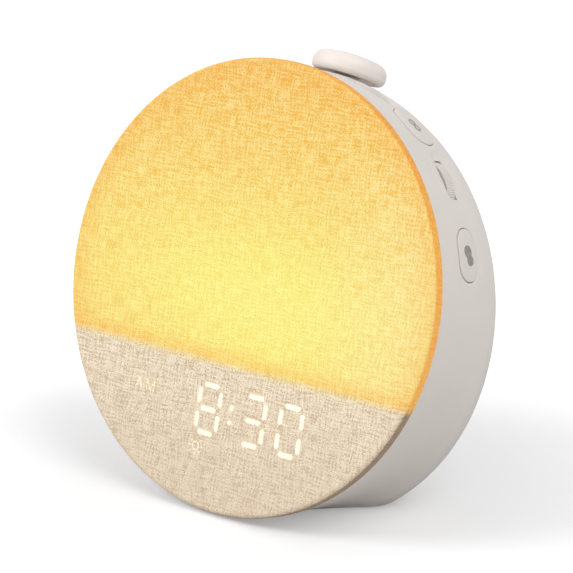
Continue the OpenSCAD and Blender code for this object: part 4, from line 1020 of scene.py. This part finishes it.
def lacquer(name, colour, track):
    """Circuit board: lacquer over copper tracks, which show as slightly lighter lines."""
    f = Finish(name, Roughness=0.35)
    point = f.face_place()
    cells = f.node("TexVoronoi", point, feature="DISTANCE_TO_EDGE", distance="CHEBYCHEV")
    cells.inputs["Scale"].default_value = 0.28
    lines = f.range(cells.outputs["Distance"], 0.10, 0.04)
    f.put(f.shader.inputs["Base Color"], f.mix(lines, colour, track))
    f.bump(lines, 0.00003, 0.4)
    return f.material


def glowing(name, colour, strength):
    f = Finish(name, Roughness=0.4)
    point = f.place()
    shade = f.mix(f.range(f.noise(point, 60.0), 0.3, 0.7), colour, tinted(colour, 0.93))
    f.put(f.shader.inputs["Base Color"], shade)
    f.put(f.shader.inputs["Emission Color"], shade)
    f.shader.inputs["Emission Strength"].default_value = strength
    return f.material


def paper(name, colour):
    f = Finish(name, Roughness=0.9)
    fibres = f.noise(f.place(), 1800.0, 4.0)
    f.put(f.shader.inputs["Base Color"], f.mix(f.range(fibres, 0.3, 0.7), colour, tinted(colour, 1.35)))
    f.bump(fibres, 0.00008, 0.6)
    return f.material


slot_finishes = {
    "cloth": linen_finish,
    # Painted light: the diffuser is no lamp; its glow stands for the lamp's light coming through it.
    "diffuser": glowing("milky_diffuser_painted_glow", srgb(255, 232, 170), 0.5),
    "shell": shell_finish,
    "knob": knob_finish,
    "pad": pad_finish,
    "white": moulded_plastic("white_moulding", srgb(236, 235, 231), 0.5),
    "black": moulded_plastic("black_moulding", srgb(38, 38, 40), 0.45),
    "bars": glowing("lit_bar", srgb(255, 252, 240), 1.0),
    "bars_dark": moulded_plastic("unlit_bar", srgb(205, 204, 200), 0.35),
    "board": lacquer("green_lacquer", srgb(24, 92, 52), srgb(40, 122, 70)),
    "board_white": lacquer("white_lacquer", srgb(232, 232, 228), srgb(214, 214, 208)),
    "lamp": glowing("lamp_phosphor", srgb(255, 214, 110), 1.2),
    "steel": metal("plated_steel", srgb(196, 197, 200), 0.28),
    "magnet": metal("coated_magnet", srgb(66, 66, 70), 0.5),
    "cone": paper("pressed_paper", srgb(44, 44, 46)),
    "rubber": rubber("black_rubber", srgb(36, 36, 38)),
    "foam": rubber("black_foam", srgb(46, 46, 46)),
    "lead_red": moulded_plastic("red_insulation", srgb(190, 44, 34), 0.4),
    "lead_black": moulded_plastic("black_insulation", srgb(34, 34, 36), 0.4),
    "lead_white": moulded_plastic("white_insulation", srgb(222, 222, 220), 0.4),
}
slot_of = {entry["node"]: entry["material_slot"] for entry in frame["record"]["subparts"]}
for name, node in frame["nodes"].items():
    node.data.materials.clear()
    node.data.materials.append(slot_finishes[slot_of[name]])
print("finishes given to", len(frame["nodes"]), "CAD nodes")

# %% [markdown]
# ## Studio
# One lamp in front, high on the left, and a broader, weaker one overhead on the right give soft shadows.
# The world fills in the rest. It is at full white only for rays that look straight at it or meet it in a
# reflection, so the white background adds no light to the clock.
#
# The floor is pale too. A little light of its own, which only the camera sees, lifts it to white further
# out. By the clock it is weaker, so that the shadow stays.

# %% Floor
FLOOR_GREY = (0.66, 0.66, 0.665, 1)
floor_mesh = bpy.data.meshes.new("floor")
bm = bmesh.new()
bmesh.ops.create_grid(bm, x_segments=1, y_segments=1, size=6)
bm.to_mesh(floor_mesh)
bm.free()
floor = bpy.data.objects.new("floor", floor_mesh)
bpy.context.scene.collection.objects.link(floor)
f = Finish("pale_floor", Roughness=0.9)
f.shader.inputs["Base Color"].default_value = FLOOR_GREY
f.shader.inputs["Specular IOR Level"].default_value = 0.0
rays = f.node("LightPath")
f.shader.inputs["Emission Color"].default_value = (1, 1, 1, 1)
lift = f.range(f.vector("LENGTH", f.place()), low=0.06, high=0.2, to_low=0.3, to_high=0.5)
f.put(f.shader.inputs["Emission Strength"], f.math("MULTIPLY", rays.outputs["Is Camera Ray"], lift))
floor_mesh.materials.append(f.material)
print("floor:", [round(side, 1) for side in floor.dimensions[:2]], "m")

# %% Lights
AIM = Vector((0, 0, 0.08))
WORLD_FILL = 0.44


def area_light(name, place, size, power):
    light = bpy.data.objects.new(name, bpy.data.lights.new(name, "AREA"))
    light.data.shape = "DISK"
    light.data.size, light.data.energy = size, power
    place = Vector(place)
    light.location = place
    light.rotation_euler = (place - AIM).to_track_quat("Z", "Y").to_euler()
    bpy.context.scene.collection.objects.link(light)
    print(f"{name}: {size} m across, {power} W, {round((place - AIM).length, 2)} m from the clock")


area_light("key", place=(-2.0, -2.4, 2.6), size=2.2, power=80)
area_light("side", place=(2.4, -0.4, 2.8), size=3.0, power=66)
world = bpy.data.worlds.new("studio")
world.use_nodes = True
bpy.context.scene.world = world
sky = world.node_tree
background = sky.nodes["Background"]
path = sky.nodes.new("ShaderNodeLightPath")
seen = sky.nodes.new("ShaderNodeMath")
seen.operation = "MAXIMUM"
sky.links.new(path.outputs["Is Camera Ray"], seen.inputs[0])
sky.links.new(path.outputs["Is Glossy Ray"], seen.inputs[1])
strength = sky.nodes.new("ShaderNodeMapRange")
strength.inputs["To Min"].default_value = WORLD_FILL
strength.inputs["To Max"].default_value = 1.0
sky.links.new(seen.outputs[0], strength.inputs["Value"])
sky.links.new(strength.outputs[0], background.inputs["Strength"])
background.inputs["Color"].default_value = (1, 1, 1, 1)
bpy.context.scene.view_settings.view_transform = "Standard"
